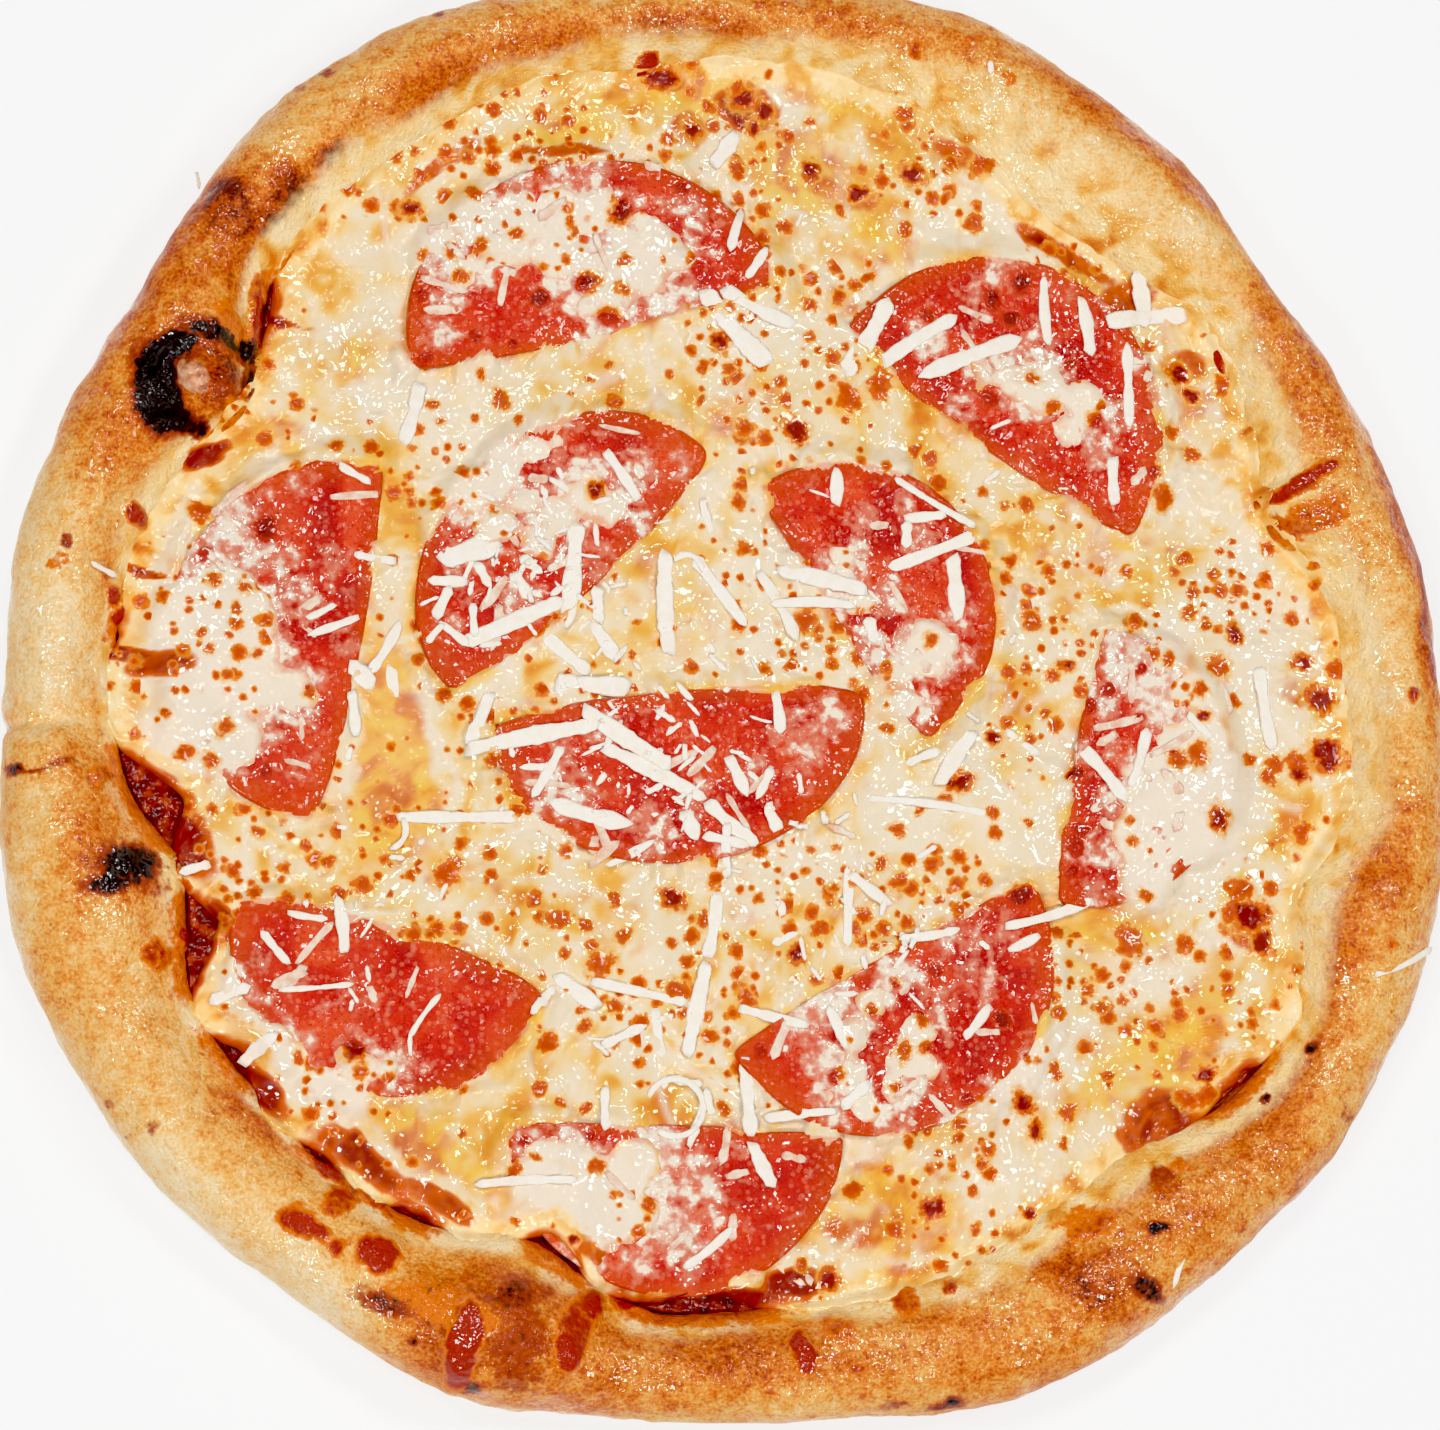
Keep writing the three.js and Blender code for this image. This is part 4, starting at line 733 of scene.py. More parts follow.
def top_height(x, y):
    """The plain top, how much cheese covers it, how far inside a slice it lies, and that slice's top."""
    plain = plain_cheese(x, y)
    covered = smoothstep(cover_depth(x, y), -2, 3)
    inside = np.full(np.shape(x), FAR_OUTSIDE)
    top = plain.copy()
    for half_slice in HALVES:
        part, depth = slice_place(x, y, half_slice)
        top = np.where(depth > inside, slice_top(x, y, part), top)
        inside = np.maximum(inside, depth)
    creep = 0.2 + 2.0 * noise([x, y], 8, 47) + 1.0 * noise([x, y], 3, 48)
    lapped = plain + (top + 0.3 - plain) * smoothstep(inside, -6, SLICE_SHOWS) * smoothstep(creep, -0.8, 0.6)
    bare = np.where(inside > np.maximum(creep, SLICE_SHOWS), top - 0.6, lapped)
    over = plain + (top - plain) * smoothstep(inside, -10, 1) + 0.6 * smoothstep(inside, -8, 0)
    return bare + (over - bare) * covered, covered, inside, top


# ---- cheese ----
CHEESE_GRID = 314       # points along each side of its grid
EDGE_TOP = 7.2          # of its outermost points, which are tucked in between rim and sauce
STRAND_REACH = 124      # how far from the middle half-melted shreds lie
CHEESE_STRANDS = 520
SLICE_STRANDS = 1500


def disc_grid(count):
    """A square grid bent evenly into a unit disc."""
    a, b = np.meshgrid(np.linspace(-1, 1, count), np.linspace(-1, 1, count), indexing="ij")
    wide = np.abs(a) > np.abs(b)
    safe_a, safe_b = np.where(a == 0, 1e-9, a), np.where(b == 0, 1e-9, b)
    radius = np.where(wide, a, b)
    turn = np.where(wide, np.pi / 4 * b / safe_a, np.pi / 2 - np.pi / 4 * a / safe_b)
    return radius * np.cos(turn), radius * np.sin(turn)


def strands(x, y, count, seed):
    """How high half-melted shreds stand out at each point, from 0 to 1."""
    rng = np.random.default_rng(seed)
    height = np.zeros(np.shape(x))
    for _ in range(count):
        radius, bearing = STRAND_REACH * np.sqrt(rng.random()), rng.random() * 2 * np.pi
        turn, length, width = rng.random() * np.pi, rng.uniform(4, 11), rng.uniform(0.7, 1.3)
        dx, dy = x - radius * np.cos(bearing), y - radius * np.sin(bearing)
        near = (np.abs(dx) < length + 2) & (np.abs(dy) < length + 2)
        along, beside = turned(dx[near], dy[near], turn)
        beside = beside + 0.03 * along**2 * rng.uniform(-1, 1)
        ridge = (1 - smoothstep(np.abs(along), length - 1.5, length)) * bell(beside, width)
        height[near] = np.maximum(height[near], ridge * rng.uniform(0.5, 1))
    return height


def spots(x, y):
    """Distance to the nearest browned bubble in its own radii, and how burnt that one is."""
    nearest = np.full(np.shape(x), 9.0)
    burnt = np.zeros(np.shape(x))
    for i, (middle_x, middle_y, radius, dark) in enumerate(SPOTS):
        along, beside = turned(x - middle_x, y - middle_y, 2.4 * i)
        reach = np.hypot(along / radius, beside / (radius * 0.78))
        burnt = np.where(reach < nearest, dark, burnt)
        nearest = np.minimum(nearest, reach)
    return nearest, burnt


def cheese_height(x, y, surface, bubbles, ridge, skin):
    """The top of the cheese with its relief, which laps a little way up the skin of the rim."""
    flat = [x, y]
    height, covered, inside, _ = surface
    spot, burnt = bubbles
    relief = 0.42 * rough(flat, 10, 55) + 0.2 * noise(flat, 2.6, 56) + 0.1 * noise(flat, 1.6, 57)
    relief = relief + 0.35 * ridge
    bubble = 0.45 * dome(spot) - 0.35 * burnt * bell(spot, 0.45)
    height = height + (relief + bubble) * np.where(inside > SLICE_SHOWS, covered, 1)
    out = np.hypot(x, y) - around(INNER, bearing_of(x, y))
    reach = 1.7 + 1.3 * noise(flat, 7, 71) + 0.7 * noise(flat, 2.6, 72)
    lap = on_skin(x, y, skin) + 0.3 - 1.3 * smoothstep(out - reach, -0.7, 0.7)
    height = 0.7 * np.logaddexp(height / 0.7, lap / 0.7)
    tucked = np.minimum(height, EDGE_TOP)
    tucked[1:-1, 1:-1] = height[1:-1, 1:-1]
    return tucked


def cheese_fields(x, y, surface, bubbles, ridge):
    """What the cheese's material goes by: bubbles, oil, sauce, thin and thick places and shades."""
    flat = [x, y]
    _, covered, inside, _ = surface
    spot, burnt = bubbles
    bearing = bearing_of(x, y)
    border = cheese_edge(bearing) - np.hypot(x, y)
    warped = shifted(flat, 51, [(0.45, 2.2), (0.9, 9)])
    blotch = 1.3 * (cloud(flat, 3.6, 83, 2) - 0.5)
    oil, _ = ovals(*warped, OILY, 0.6)
    stain = 0.75 * np.exp(-np.abs(np.minimum(inside, 0)) / 2.2) * smoothstep(noise(flat, 7, 58), -0.5, 0.6)
    saucy, _ = ovals(*warped, SAUCY)
    free = free_edge(bearing) * smoothstep(border, 4.5, 0.5)
    return {
        "spot": spot,
        "burnt": burnt,
        "oil": np.maximum(oil, stain * (1 - covered)) + blotch,
        "saucy": np.maximum(saucy, 0.75 * free) + 0.8 * blotch,
        "border": border,
        "white": np.maximum(smoothstep(cover_depth(x, y), -5, 3), 0.8 * ridge),
        "thin": smoothstep(cover_depth(x, y), 3, -0.5) * smoothstep(inside, -0.5, 1),
        "shade": cloud(flat, 15, 84, 4) + 0.7 * (cloud(flat, 5.5, 85, 5, 2) - 0.5),
        "tone": cloud(flat, 5, 82, 3, 4),
        "film": 0.85 * film_patches(flat),
        "crowd": 1.6 * (cloud(flat, 22, 86, 4, 2) - 0.5),
        "wavy": 0.3 + 0.7 * smoothstep(cloud(flat, 17, 87, 4), 0.42, 0.6),
    }


def cheese(material, skin):
    x, y = disc_grid(CHEESE_GRID)
    edge = cheese_edge(bearing_of(x, y))
    x, y = x * edge, y * edge
    ridge = strands(x, y, CHEESE_STRANDS, 5)
    bubbles = spots(*shifted([x, y], 51, [(0.6, 2.4)]))
    surface = top_height(x, y)
    height = cheese_height(x, y, surface, bubbles, ridge, skin)
    index = np.arange(CHEESE_GRID**2).reshape(CHEESE_GRID, CHEESE_GRID)
    quads = np.stack([index[:-1, :-1], index[1:, :-1], index[1:, 1:], index[:-1, 1:]], axis=-1).reshape(-1, 4)
    loop = np.concatenate([index[:-1, 0], index[-1, :-1], index[:0:-1, -1], index[0, :0:-1]])
    top = np.stack([x, y, height], axis=-1).reshape(-1, 3)
    foot = top[loop] * (1, 1, 0) + (0, 0, CHEESE_BOTTOM)
    points = np.concatenate([top, foot, [[0, 0, CHEESE_BOTTOM]]])
    below = len(top) + np.arange(len(loop))
    faces = [quads, ring_faces(below, loop), fan_faces(below, len(points) - 1, False)]
    hidden = np.zeros(len(loop) + 1)
    fields = cheese_fields(x, y, surface, bubbles, ridge)
    fields = {field: np.r_[values.ravel(), hidden] for field, values in fields.items()}
    make_piece("cheese_layer", points, faces, fields, material, "cheese")


# ---- halved slices ----
def slice_outline(half, depth, bow, seed):
    """A half slice's outline, cut edge along X, round side towards +Y, with slightly rounded corners."""
    turn = np.linspace(0, np.pi, 190)
    arc = np.stack([half * np.cos(turn), depth * np.sin(turn)], axis=1)
    across = np.linspace(-1, 1, 112)[1:-1]
    cut = np.stack([half * across, -bow * dome(across)], axis=1)
    outline = np.concatenate([arc, cut])
    for _ in range(3):
        outline = 0.25 * np.roll(outline, 1, axis=0) + 0.5 * outline + 0.25 * np.roll(outline, -1, axis=0)
    return outline + 0.35 * np.stack([noise(outline.T, 9, seed), noise(outline.T, 9, seed + 1)], axis=1)


def veil_on(x, y):
    """How much of a slice is veiled by thin cheese."""
    flat = [x, y]
    patches = [(*middle, radius, radius, 0, strength) for *middle, radius, strength in VEILS]
    veil, _ = ovals(*shifted(flat, 63, [(0.9, 2.6), (0.5, 1.2)]), patches, 0.55)
    thin = 0.85 * smoothstep(cover_depth(x, y), -4.5, 0)
    return np.maximum(veil, thin * smoothstep(noise(flat, 5, 67), -0.7, 0.4))


def pepperoni_half(number, half_slice, material):
    _, _, half, depth, bow, _ = half_slice
    hub_depth = 0.42 * depth
    hub = np.array([0, hub_depth])
    insets = np.r_[0, 0.12, 0.3, 0.55, 0.9, np.linspace(1.4, hub_depth, 44)[:-1]]
    outline = slice_outline(half, depth, bow, 60 + number)
    local = hub + (1 - insets / hub_depth)[:, None, None] * (outline - hub)
    x, y = on_slice(local[..., 0], local[..., 1], half_slice)
    part, _ = slice_place(x, y, half_slice)
    ridge = strands(x, y, SLICE_STRANDS, 9)
    spot, burnt = spots(*shifted([x, y], 51, [(0.35, 1.6)]))
    veil = veil_on(x, y)
    round_off = 0.6 * (1 - dome(np.clip(1 - insets / 0.7, 0, 1)))[:, None]
    fine = 0.1 * noise([x, y], 1.6, 61) + 0.06 * noise([x, y], 0.9, 62)
    strand = 0.25 * ridge * smoothstep(veil + 0.3 * ridge, 0.2, 0.6)
    z = slice_top(x, y, part) + fine - round_off + strand + 0.3 * dome(spot)
    top = np.stack([x, y, z], axis=-1)
    foot = np.stack([x[0], y[0], SLICE_BOTTOM + 0.5 * slice_rise(part[0])], axis=-1)
    middle = on_slice(0, hub_depth, half_slice)
    rings = np.concatenate([foot[None], top])
    points, faces = ring_mesh(rings, (*middle, z[-1].mean()), (*middle, SLICE_BOTTOM))
    fields = {
        "veil": veil + 0.35 * ridge,
        "spot": spot,
        "burnt": burnt,
        "border": np.repeat(insets[:, None], len(outline), axis=1),
        "shade": cloud([x, y], 8, 88, 3),
        "film": film_patches([x, y]),
    }
    fields = {field: np.r_[values[0], values.ravel(), values[-1, 0], 0] for field, values in fields.items()}
    name = f"pepperoni_slice_{number:02d}"
    make_piece(name, points, faces, fields, material, f"pepperoni_half_{number:02d}")


# ---- grated shreds ----
PILE_PITCH = 0.5
PILE_COUNT = 640        # heights along each side of the raster
SHRED_SIDES = 8
SOFT_SHREDS = 80


def surface_pile():
    """Heights on a square raster, which the shreds are laid on one after another."""
    line = (np.arange(PILE_COUNT) - PILE_COUNT / 2) * PILE_PITCH
    x, y = np.meshgrid(line, line, indexing="ij")
    height, covered, inside, top = top_height(x, y)
    height = np.where((inside > SLICE_SHOWS) & (covered < 0.3), top, height)
    bearing = bearing_of(x, y)
    inner, outer = around(INNER, bearing), around(OUTER, bearing)
    across = 1 + (np.hypot(x, y) - inner) / (outer - inner)
    section_across, section_up = zip(*[row for row in RIM_SECTION[::-1] if row[1] >= 0.38][1:])
    rim = np.interp(across, section_across, section_up, right=0) * around(CREST, bearing)
    return np.where(across > 1.01, rim, height)


def pile_cell(place):
    return np.clip((place / PILE_PITCH + PILE_COUNT / 2).astype(int), 0, PILE_COUNT - 1)


def resting_height(ground, t, cling):
    """How high a shred lies over uneven ground, which it follows the more it clings."""
    line = np.polyval(np.polyfit(t, ground, 1), t)
    stiff = line + np.max(ground - line) * 0.75
    return (1 - cling) * stiff + cling * ground - 0.1


def blunted(wave, power):
    """A wave with its sign kept and its crests broadened."""
    return np.sign(wave) * np.abs(wave) ** power


def lay_shred(pile, x, y, bearing, length, width, thickness, cling, rng, curl=None):
    """One shred as rings of points, laid on the pile, which it raises. Curl is how many degrees it turns."""
    curl = rng.uniform(-18, 18) if curl is None else curl
    steps = max(8, int(length / 1.1))
    t = np.linspace(-0.5, 0.5, steps)
    turn = np.radians(bearing + curl * t)
    path_x, path_y = (np.cumsum(wave(turn)) * length / steps for wave in (np.cos, np.sin))
    path_x, path_y = x + path_x - path_x.mean(), y + path_y - path_y.mean()
    cell_x, cell_y = pile_cell(path_x), pile_cell(path_y)
    rest = resting_height(pile[cell_x, cell_y], t, cling)
    tilt = rng.uniform(-0.12, 0.12)
    swell = 1 + 0.14 * np.sin(t * rng.uniform(6, 12) + rng.uniform(0, 6)) + rng.normal(0, 0.07, steps)
    blunt = np.where(t < 0, rng.uniform(0.1, 0.8), rng.uniform(0.1, 0.8))
    ends = np.minimum(1, (0.5 - np.abs(t)) * length / width * rng.uniform(0.7, 2) + blunt)
    half = (0.56 * width * swell * ends)[:, None]
    angle = (np.arange(SHRED_SIDES) + 0.5) / SHRED_SIDES * 2 * np.pi
    side, lift = blunted(np.cos(angle), 0.3), blunted(np.sin(angle), 0.4)
    skew = rng.uniform(-0.6, 0.6) * half * side * (np.abs(t) > 0.47)[:, None]
    dx, dy = turned(skew, half * side, -turn[:, None])
    pz = rest[:, None] + thickness * (0.5 + 0.5 * lift) + tilt * half * side
    reach = int(np.ceil(width / 2 / PILE_PITCH))
    for offset in range(-reach, reach + 1):
        side_x = np.clip(cell_x - np.rint(offset * np.sin(turn)).astype(int), 0, PILE_COUNT - 1)
        side_y = np.clip(cell_y + np.rint(offset * np.cos(turn)).astype(int), 0, PILE_COUNT - 1)
        pile[side_x, side_y] = np.maximum(pile[side_x, side_y], rest + thickness)
    return np.stack([path_x[:, None] + dx, path_y[:, None] + dy, pz], axis=-1)


def melted_strips(pile, rng):
    """Soft shreds that lie scattered over the slices and don't raise the pile."""
    strips = []
    for _ in range(SOFT_SHREDS):
        half_slice = HALVES[rng.integers(len(HALVES))]
        along, beside = rng.uniform(-0.85, 0.85) * half_slice[2], rng.uniform(0.05, 0.9) * half_slice[3]
        length, width = rng.uniform(4, 13), rng.uniform(0.9, 2)
        place = on_slice(along, beside, half_slice)
        strips.append(lay_shred(pile.copy(), *place, rng.uniform(0, 180), length, width, 0.3, 1, rng))
    return strips


def grated_strips(pile, rng):
    """The shreds one by one, the curled ones, and the chips in their heaps."""
    strips = [lay_shred(pile, *row, 0.5, 0.5, rng) for row in SHREDS]
    strips += [lay_shred(pile, *row, 0.6, 0.9, rng, curl) for *row, curl in CURLED_SHREDS]
    for middle_x, middle_y, spread, count in CHIP_PILES:
        for _ in range(count):
            x, y = middle_x + spread * rng.normal(), middle_y + spread * rng.normal()
            length, width = rng.uniform(1.5, 6), rng.uniform(0.5, 1.2)
            strips.append(lay_shred(pile, x, y, rng.uniform(0, 180), length, width, 0.4, 0.8, rng))
    return strips


def strip_piece(name, strips, material):
    """One piece of closed strips, each given as rings of points."""
    points, quads, caps, start = [], [], [], 0
    for rings in strips:
        rows = start + np.arange(len(rings) * SHRED_SIDES).reshape(-1, SHRED_SIDES)
        points.append(rings.reshape(-1, 3))
        quads += [ring_faces(low, high) for low, high in zip(rows[:-1], rows[1:])]
        caps += [rows[0][::-1], rows[-1]]
        start += rows.size
    make_piece(name, np.concatenate(points), [np.concatenate(quads), np.array(caps)], {}, material)


def grated_cheese(dry, melted):
    rng = np.random.default_rng(21)
    pile = surface_pile()
    soft = melted_strips(pile, rng)
    strip_piece("grated_shreds", grated_strips(pile, rng), dry)
    strip_piece("melted_shreds", soft, melted)


# ---- materials ----
class Paint:
    """One material's node tree, with sizes in millimetres."""

    def __init__(self, name):
        self.material = bpy.data.materials.new(name)
        self.material.use_nodes = True
        self.tree = self.material.node_tree
        self.tree.nodes.clear()
        self.shader = self.add("ShaderNodeBsdfPrincipled")
        self.add("ShaderNodeOutputMaterial", Surface=self.shader.outputs["BSDF"])
        self.place = self.add("ShaderNodeTexCoord").outputs["Object"]

    def add(self, kind, **values):
        node = self.tree.nodes.new(kind)
        self.fill(node, values)
        return node

    def fill(self, node, values):
        for name, value in values.items():
            self.put(value, node.inputs[name.replace("_", " ")])

    def put(self, value, target):
        """Sets an input to a number or a colour, or links it to another node's output."""
        if isinstance(value, bpy.types.NodeSocket):
            self.tree.links.new(value, target)
        else:
            target.default_value = value

    def set(self, **values):
        self.fill(self.shader, values)

    def field(self, name):
        node = self.add("ShaderNodeAttribute")
        node.attribute_name = name
        return node.outputs["Fac"]

    def noise(self, size, detail=2.0, offset=0.0):
        place = self.add("ShaderNodeMapping", Vector=self.place, Location=(offset, offset, offset))
        node = self.add("ShaderNodeTexNoise", Vector=place.outputs["Vector"])
        self.fill(node, {"Scale": 1 / (size * MM), "Detail": detail})
        return node.outputs["Fac"]

    def cells(self, size, dimensions="2D"):
        """Distance from the middle of the nearest cell, in cell sizes, and that cell's own random number."""
        node = self.add("ShaderNodeTexVoronoi")
        node.voronoi_dimensions = dimensions
        self.fill(node, {"Vector": self.place, "Scale": 1 / (size * MM)})
        parts = self.add("ShaderNodeSeparateColor", Color=node.outputs["Color"])
        return node.outputs["Distance"], parts.outputs["Red"]

    def math(self, kind, first, *others):
        for value in others:
            node = self.add("ShaderNodeMath")
            node.operation = kind
            self.put(first, node.inputs[0])
            self.put(value, node.inputs[1])
            first = node.outputs[0]
        return first

    def plus(self, *values):
        return self.math("ADD", *values)

    def times(self, *values):
        return self.math("MULTIPLY", *values)

    def swing(self, value, amount):
        """How far a noise is from its mean, times the amount."""
        return self.times(self.plus(value, -0.5), amount)

    def step(self, value, low, high, top=1.0):
        """0 at low, which smoothly becomes top at high."""
        node = self.add("ShaderNodeMapRange", Value=value, From_Min=low, From_Max=high, To_Max=top)
        node.interpolation_type = "SMOOTHSTEP"
        return node.outputs["Result"]

    def blend(self, share, first, second):
        node = self.add("ShaderNodeMix", Factor=share)
        node.data_type = "RGBA"
        for value, target in ((first, node.inputs[6]), (second, node.inputs[7])):
            self.put(value if isinstance(value, bpy.types.NodeSocket) else (*value, 1), target)
        return node.outputs[2]

    def ramp(self, value, stops):
        node = self.add("ShaderNodeValToRGB", Fac=value)
        while len(node.color_ramp.elements) < len(stops):
            node.color_ramp.elements.new(0.5)
        for element, (place, colour) in zip(node.color_ramp.elements, stops):
            element.position = place
            element.color = (*colour, 1)
        return node.outputs["Color"]

    def bump(self, height, depth, target="Normal"):
        """Bumps of the surface, or with Coat Normal as target those of the wet film on it."""
        node = self.add("ShaderNodeBump", Strength=1, Distance=depth * MM, Height=height)
        normal = self.shader.inputs[target]
        if normal.links:
            self.put(normal.links[0].from_socket, node.inputs["Normal"])
        self.put(node.outputs["Normal"], normal)

    def film(self, size, depth):
        """A film of fat, as thick as the field film says, whose smooth waves glitter in small points."""
        self.set(Coat_Weight=self.field("film"), Coat_Roughness=0.04, Coat_IOR=1.6)
        self.bump(self.noise(size, 0, 20), depth, "Coat Normal")
        self.bump(self.noise(2.7 * size, 0, 21), 1.5 * depth, "Coat Normal")


def meeting_tones_with_painted_light(paint, colour, share):
    """Cream to orange-brown tones that the cheese and the crust share where they meet: partly stains, and
    partly painted light, as the cream tones are lighter than the cheese to light up the rim's inward-facing
    slope.
    """
    tones = paint.ramp(paint.field("tone"), [
        (0.34, (0.96, 0.77, 0.46)), (0.50, (0.95, 0.68, 0.31)), (0.60, (0.90, 0.48, 0.10)),
        (0.69, (0.78, 0.25, 0.025)), (0.78, (0.55, 0.08, 0.008)),
    ])
    return paint.blend(share, colour, tones)


# burnt and red places of the crust, one over the other: the field, from where to where it fades in, colour
CRUST_TONES = [
    ("char", 0.12, 0.6, (0.44, 0.055, 0.008)), ("red", 0.12, 0.4, (0.80, 0.20, 0.012)),
    ("red", 0.4, 0.85, (0.44, 0.024, 0.003)), ("char", 0.55, 0.95, (0.016, 0.007, 0.006)),
]


def crust_paint():
    paint = Paint("baked_crust")
    grain = paint.noise(0.7)
    coarse = paint.noise(2.6, offset=3)
    ragged = paint.swing(paint.noise(1.5, offset=5), 0.8)
    toast = paint.plus(paint.field("toast"), paint.swing(grain, 0.7), paint.swing(coarse, 0.55))
    colour = paint.ramp(toast, [
        (0.0, (0.91, 0.73, 0.46)), (0.2, (0.90, 0.62, 0.29)), (0.4, (0.87, 0.46, 0.12)),
        (0.6, (0.78, 0.24, 0.03)), (0.8, (0.54, 0.085, 0.008)), (1.0, (0.16, 0.018, 0.005)),
    ])
    away, chance = paint.cells(3.0, "3D")
    near = paint.step(paint.plus(away, paint.times(ragged, 0.6)), 0.4, 0.15, 0.75)
    freckle = paint.times(near, paint.step(chance, 0.55, 0.65), paint.step(toast, 0.36, 0.6))
    colour = paint.blend(freckle, colour, (0.58, 0.075, 0.008))
    # painted light: where cheese film lies on the inner slope, the crust takes the lighter meeting tones
    cheese_film_and_painted_light = paint.plus(paint.field("cheese_film_and_painted_light"), paint.times(ragged, 0.6))
    colour = meeting_tones_with_painted_light(paint, colour, paint.step(cheese_film_and_painted_light, 0.15, 0.85))
    shares = {"char": paint.plus(paint.field("char"), paint.times(ragged, 1.2)),
              "red": paint.plus(paint.field("red"), ragged)}
    for field, low, high, tone in CRUST_TONES:
        colour = paint.blend(paint.step(shares[field], low, high), colour, tone)
    crumb = paint.ramp(coarse, [
        (0.35, (0.42, 0.13, 0.06)), (0.5, (0.70, 0.36, 0.20)), (0.65, (0.84, 0.58, 0.40)),
    ])
    colour = paint.blend(paint.step(paint.field("crumb"), 0.3, 0.7), colour, crumb)
    paint.set(Base_Color=colour, Roughness=0.45, Specular_IOR_Level=0.3)
    paint.film(1.15, 0.38)
    paint.bump(coarse, 0.7)
    paint.bump(grain, 0.35)
    return paint.material


def bubbled(paint, colour, ragged, ring, skin, middle):
    """The colour with its browned bubbles: a soft ring, a skin and a middle, darker where burnt."""
    spot = paint.plus(paint.field("spot"), ragged)
    colour = paint.blend(paint.step(spot, 1.8, 1.2, 0.7), colour, ring)
    colour = paint.blend(paint.step(spot, 1.25, 1.0), colour, skin)
    colour = paint.blend(paint.step(spot, 0.95, 0.5, 0.6), colour, middle)
    burnt = paint.times(paint.field("burnt"), paint.step(spot, 0.95, 0.5))
    return paint.blend(burnt, colour, (0.30, 0.012, 0.002))


# browned flecks, one at most in each cell: the cells' size and the share of them that stays bare
FLECK_CELLS = [(2.8, 0.86), (5.2, 0.80)]
# from their halo to their core: how far out in cell sizes, how soft, how strong, colour
FLECK_TONES = [
    (0.22, 0.2, 0.5, (0.90, 0.50, 0.12)), (0.09, 0.09, 1, (0.80, 0.21, 0.012)),
    (-0.02, 0.12, 0.8, (0.57, 0.05, 0.004)),
]


def flecked(paint, colour, fine):
    """The colour with its flecks, which are larger where their chance is better and more where they crowd."""
    crowd = paint.field("crowd")
    for size, bare in FLECK_CELLS:
        away, chance = paint.cells(size)
        chance = paint.math("MINIMUM", paint.plus(chance, crowd), bare + 0.22)
        away = paint.plus(away, fine, paint.times(chance, -0.8))
        edge = 0.12 - 0.8 * bare
        there = paint.step(chance, bare, bare + 0.04)
        for out, softness, strength, tone in FLECK_TONES:
            near = paint.step(away, edge + out, edge + out - softness, strength)
            colour = paint.blend(paint.times(near, there), colour, tone)
    return colour


def cheese_paint():
    paint = Paint("melted_cheese")
    colour = paint.ramp(paint.field("shade"), [
        (0.32, (0.88, 0.76, 0.57)), (0.49, (0.88, 0.71, 0.46)), (0.58, (0.89, 0.63, 0.27)),
        (0.67, (0.86, 0.45, 0.08)), (0.80, (0.76, 0.23, 0.02)),
    ])
    colour = paint.blend(paint.field("white"), colour, (0.89, 0.77, 0.62))
    ragged = paint.swing(paint.noise(1.4, offset=6), 1.3)
    thin = paint.plus(paint.field("thin"), paint.times(ragged, 0.6))
    colour = paint.blend(paint.step(thin, 0.3, 0.9, 0.75), colour, (0.82, 0.36, 0.22))
    oily = paint.ramp(paint.field("tone"), [
        (0.40, (0.90, 0.56, 0.08)), (0.53, (0.88, 0.43, 0.05)), (0.63, (0.76, 0.21, 0.018)),
        (0.72, (0.62, 0.10, 0.008)),
    ])
    colour = paint.blend(paint.step(paint.field("oil"), 0.1, 0.8, 0.85), colour, oily)
    # next to the rim the cheese takes the same meeting tones, stains whose cream part is painted lighter, as
    # on the rim's slope
    rim = paint.plus(paint.step(paint.field("border"), 10, 3), ragged)
    colour = meeting_tones_with_painted_light(paint, colour, paint.step(rim, 0.3, 0.9))
    saucy = paint.field("saucy")
    colour = paint.blend(paint.step(saucy, 0.25, 0.6), colour, (0.68, 0.13, 0.01))
    colour = paint.blend(paint.step(saucy, 0.6, 1.0), colour, (0.32, 0.016, 0.003))
    fine = paint.swing(paint.noise(1.1, offset=22), 0.36)
    colour = flecked(paint, colour, fine)
    ragged = paint.plus(ragged, fine)
    colour = bubbled(paint, colour, ragged, (0.88, 0.46, 0.08), (0.74, 0.16, 0.010), (0.52, 0.04, 0.003))
    paint.set(Base_Color=colour, Roughness=0.4, Specular_IOR_Level=0.3)
    paint.film(1.8, 0.40)
    paint.bump(paint.times(paint.noise(2.8, 1, 4), paint.field("wavy")), 0.7)
    return paint.material


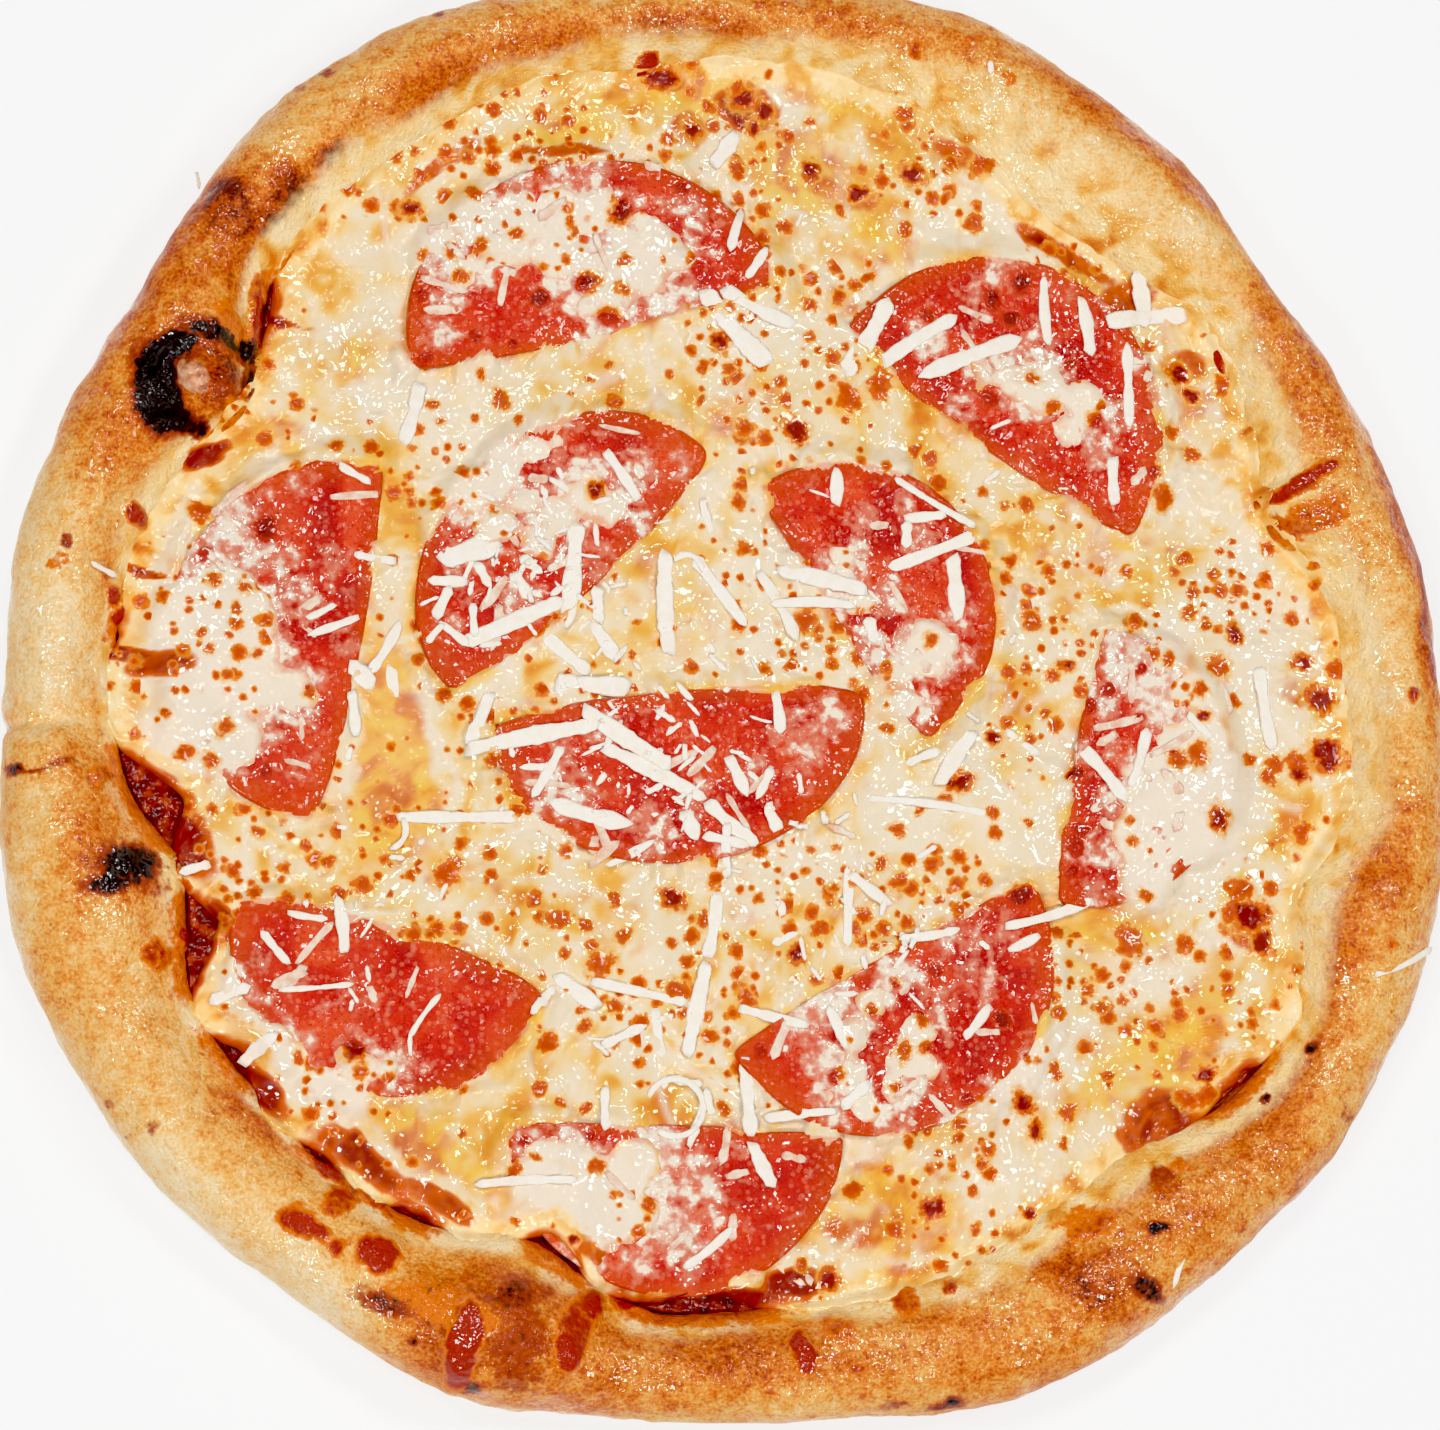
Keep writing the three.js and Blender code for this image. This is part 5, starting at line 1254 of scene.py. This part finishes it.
def pepperoni_paint():
    paint = Paint("cured_sausage")
    grain = paint.noise(0.7, offset=3)
    colour = paint.ramp(paint.field("shade"), [
        (0.32, (0.50, 0.008, 0.005)), (0.5, (0.67, 0.026, 0.008)), (0.68, (0.79, 0.085, 0.022)),
    ])
    away, chance = paint.cells(1.5)
    fleck = paint.times(paint.step(away, 0.42, 0.24, 0.4), paint.step(chance, 0.5, 0.7))
    colour = paint.blend(fleck, colour, (0.86, 0.26, 0.13))
    colour = paint.blend(paint.step(grain, 0.52, 0.75, 0.7), colour, (0.42, 0.004, 0.004))
    colour = paint.blend(paint.step(paint.field("border"), 3.5, 0.2, 0.75), colour, (0.66, 0.08, 0.006))
    torn = paint.noise(2.4, 3, 6)
    veil = paint.plus(paint.field("veil"), paint.swing(torn, 1.5))
    colour = paint.blend(paint.step(veil, 0.3, 0.6, 0.8), colour, (0.78, 0.24, 0.14))
    white = paint.ramp(torn, [(0.40, (0.80, 0.42, 0.30)), (0.56, (0.90, 0.79, 0.65))])
    colour = paint.blend(paint.step(veil, 0.6, 0.95), colour, white)
    ragged = paint.swing(torn, 0.8)
    colour = bubbled(paint, colour, ragged, (0.66, 0.06, 0.010), (0.56, 0.035, 0.006), (0.40, 0.012, 0.004))
    paint.set(Base_Color=colour, Roughness=0.4, Specular_IOR_Level=0.3)
    paint.film(1.4, 0.33)
    paint.bump(paint.noise(1.6, offset=7), 0.8)
    return paint.material


def plain_paint(name, shade, stops, bumps, roughness, sheen):
    """Tones that follow a noise, given as its size and detail, and bumps, given as size, detail and depth."""
    paint = Paint(name)
    colour = paint.ramp(paint.noise(*shade), stops)
    paint.set(Base_Color=colour, Roughness=roughness, Specular_IOR_Level=sheen)
    *grain, depth = bumps
    paint.bump(paint.noise(*grain), depth)
    return paint.material


def sauce_paint():
    tones = [(0.3, (0.10, 0.004, 0.002)), (0.5, (0.26, 0.014, 0.004)), (0.72, (0.55, 0.09, 0.01))]
    return plain_paint("tomato_sauce", (3, 3), tones, (1.8, 1, 0.6), 0.22, 0.4)


def shred_paint():
    tones = [(0.3, (0.90, 0.82, 0.70)), (0.7, (0.92, 0.88, 0.81))]
    return plain_paint("grated_hard_cheese", (2.2, 2), tones, (0.8, 2, 0.15), 0.5, 0.35)


def melted_paint():
    tones = [(0.35, (0.82, 0.50, 0.36)), (0.6, (0.87, 0.74, 0.60))]
    return plain_paint("half_melted_cheese", (2.6, 2), tones, (1, 2, 0.2), 0.25, 0.5)


def floor_paint():
    paint = Paint("studio_floor")
    paint.set(Base_Color=(0.2, 0.2, 0.2, 1), Roughness=1.0, Specular_IOR_Level=0.0)
    paint.set(Emission_Color=(1, 1, 1, 1), Emission_Strength=FLOOR_GLOW)
    return paint.material


# ---- light, floor and camera ----
FLOOR_SIDE = 8              # metres, as are all lengths of the stage
FLOOR_GLOW = 0.742
WALL_GLOW = 0.8
CEILING_GLOW = 0.12
WALL_TOP = (0.13, 0.3)      # where the wall fades into the ceiling, as the sine of the height angle
BLACK_LEVEL = 0.03
# bearing, degrees off the zenith, power
LIGHTS = [(150, 28, 2.4), (20, 34, 2.2), (235, 40, 3.3), (305, 32, 2.4), (85, 30, 1.8)]
LIGHT_DISTANCE = 1.1
LIGHT_SIDE = 0.2
TARGET = (-4.4, -5.7, 8)    # millimetres: what the camera looks at
CAMERA_BEARING = 222
CAMERA_OFF_ZENITH = 12
CAMERA_DISTANCE = 0.9
VIEW_WIDTH = 0.301          # what the image spans at that distance
IMAGE_WIDTH = 1440
SHIFT_DOWN = 3              # of the image, in its own pixels
SENSOR = 36


def direction(bearing, off_zenith):
    turn, tilt = np.radians(bearing), np.radians(off_zenith)
    return Vector((np.sin(tilt) * np.cos(turn), np.sin(tilt) * np.sin(turn), np.cos(tilt)))


def area_light(name, bearing, off_zenith, power):
    light = bpy.data.lights.new(name, "AREA")
    light.size = LIGHT_SIDE
    light.energy = power
    lamp = bpy.data.objects.new(name, light)
    back = direction(bearing, off_zenith)
    lamp.location = back * LIGHT_DISTANCE
    lamp.rotation_euler = back.to_track_quat("Z", "Y").to_euler()
    bpy.context.scene.collection.objects.link(lamp)


def studio():
    """A pale wall round the horizon under a dim ceiling."""
    world = bpy.data.worlds.new("studio")
    world.use_nodes = True
    tree = world.node_tree
    place = tree.nodes.new("ShaderNodeTexCoord")
    parts = tree.nodes.new("ShaderNodeSeparateXYZ")
    glow = tree.nodes.new("ShaderNodeMapRange")
    glow.interpolation_type = "SMOOTHSTEP"
    names = ("From Min", "From Max", "To Min", "To Max")
    for name, value in zip(names, (*WALL_TOP, WALL_GLOW, CEILING_GLOW)):
        glow.inputs[name].default_value = value
    back = tree.nodes["Background"]
    back.inputs["Color"].default_value = (1, 1, 1, 1)
    tree.links.new(place.outputs["Generated"], parts.inputs["Vector"])
    tree.links.new(parts.outputs["Z"], glow.inputs["Value"])
    tree.links.new(glow.outputs["Result"], back.inputs["Strength"])
    return world


def stage():
    bpy.ops.mesh.primitive_plane_add(size=FLOOR_SIDE)
    floor = bpy.context.object
    floor.name = "floor"
    floor.data.materials.append(floor_paint())
    bpy.context.scene.world = studio()
    for number, spec in enumerate(LIGHTS):
        area_light(f"light_{number}", *spec)
    view = bpy.context.scene.view_settings
    view.view_transform = "Standard"
    view.look = "None"
    view.use_curve_mapping = True
    view.curve_mapping.black_level = (BLACK_LEVEL, BLACK_LEVEL, BLACK_LEVEL)
    view.curve_mapping.update()


def camera():
    back = direction(CAMERA_BEARING, CAMERA_OFF_ZENITH)
    right = Vector((0, 1, 0)).cross(back).normalized()
    matrix = np.eye(4)
    matrix[:3, 0], matrix[:3, 1], matrix[:3, 2] = right, back.cross(right), back
    matrix[:3, 3] = Vector(TARGET) * MM + back * CAMERA_DISTANCE
    lens = bpy.data.cameras.new("camera")
    lens.sensor_width = SENSOR
    lens.lens = SENSOR * CAMERA_DISTANCE / VIEW_WIDTH
    lens.shift_y = -SHIFT_DOWN / IMAGE_WIDTH
    lens.clip_start, lens.clip_end = 0.01, 20
    seen = bpy.data.objects.new("camera", lens)
    seen.matrix_world = Matrix(matrix.tolist())
    bpy.context.scene.collection.objects.link(seen)
    bpy.context.scene.camera = seen


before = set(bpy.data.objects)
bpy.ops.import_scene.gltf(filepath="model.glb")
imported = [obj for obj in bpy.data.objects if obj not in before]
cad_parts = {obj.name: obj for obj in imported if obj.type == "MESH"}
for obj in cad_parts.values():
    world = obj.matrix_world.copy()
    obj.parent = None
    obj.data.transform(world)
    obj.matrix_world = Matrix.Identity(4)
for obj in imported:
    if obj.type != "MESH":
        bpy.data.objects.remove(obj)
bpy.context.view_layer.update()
skin = crust(crust_paint())
sauce(sauce_paint())
cheese(cheese_paint(), skin)
slice_paint = pepperoni_paint()
for number, half_slice in enumerate(HALVES, 1):
    pepperoni_half(number, half_slice, slice_paint)
grated_cheese(shred_paint(), melted_paint())
stage()
camera()
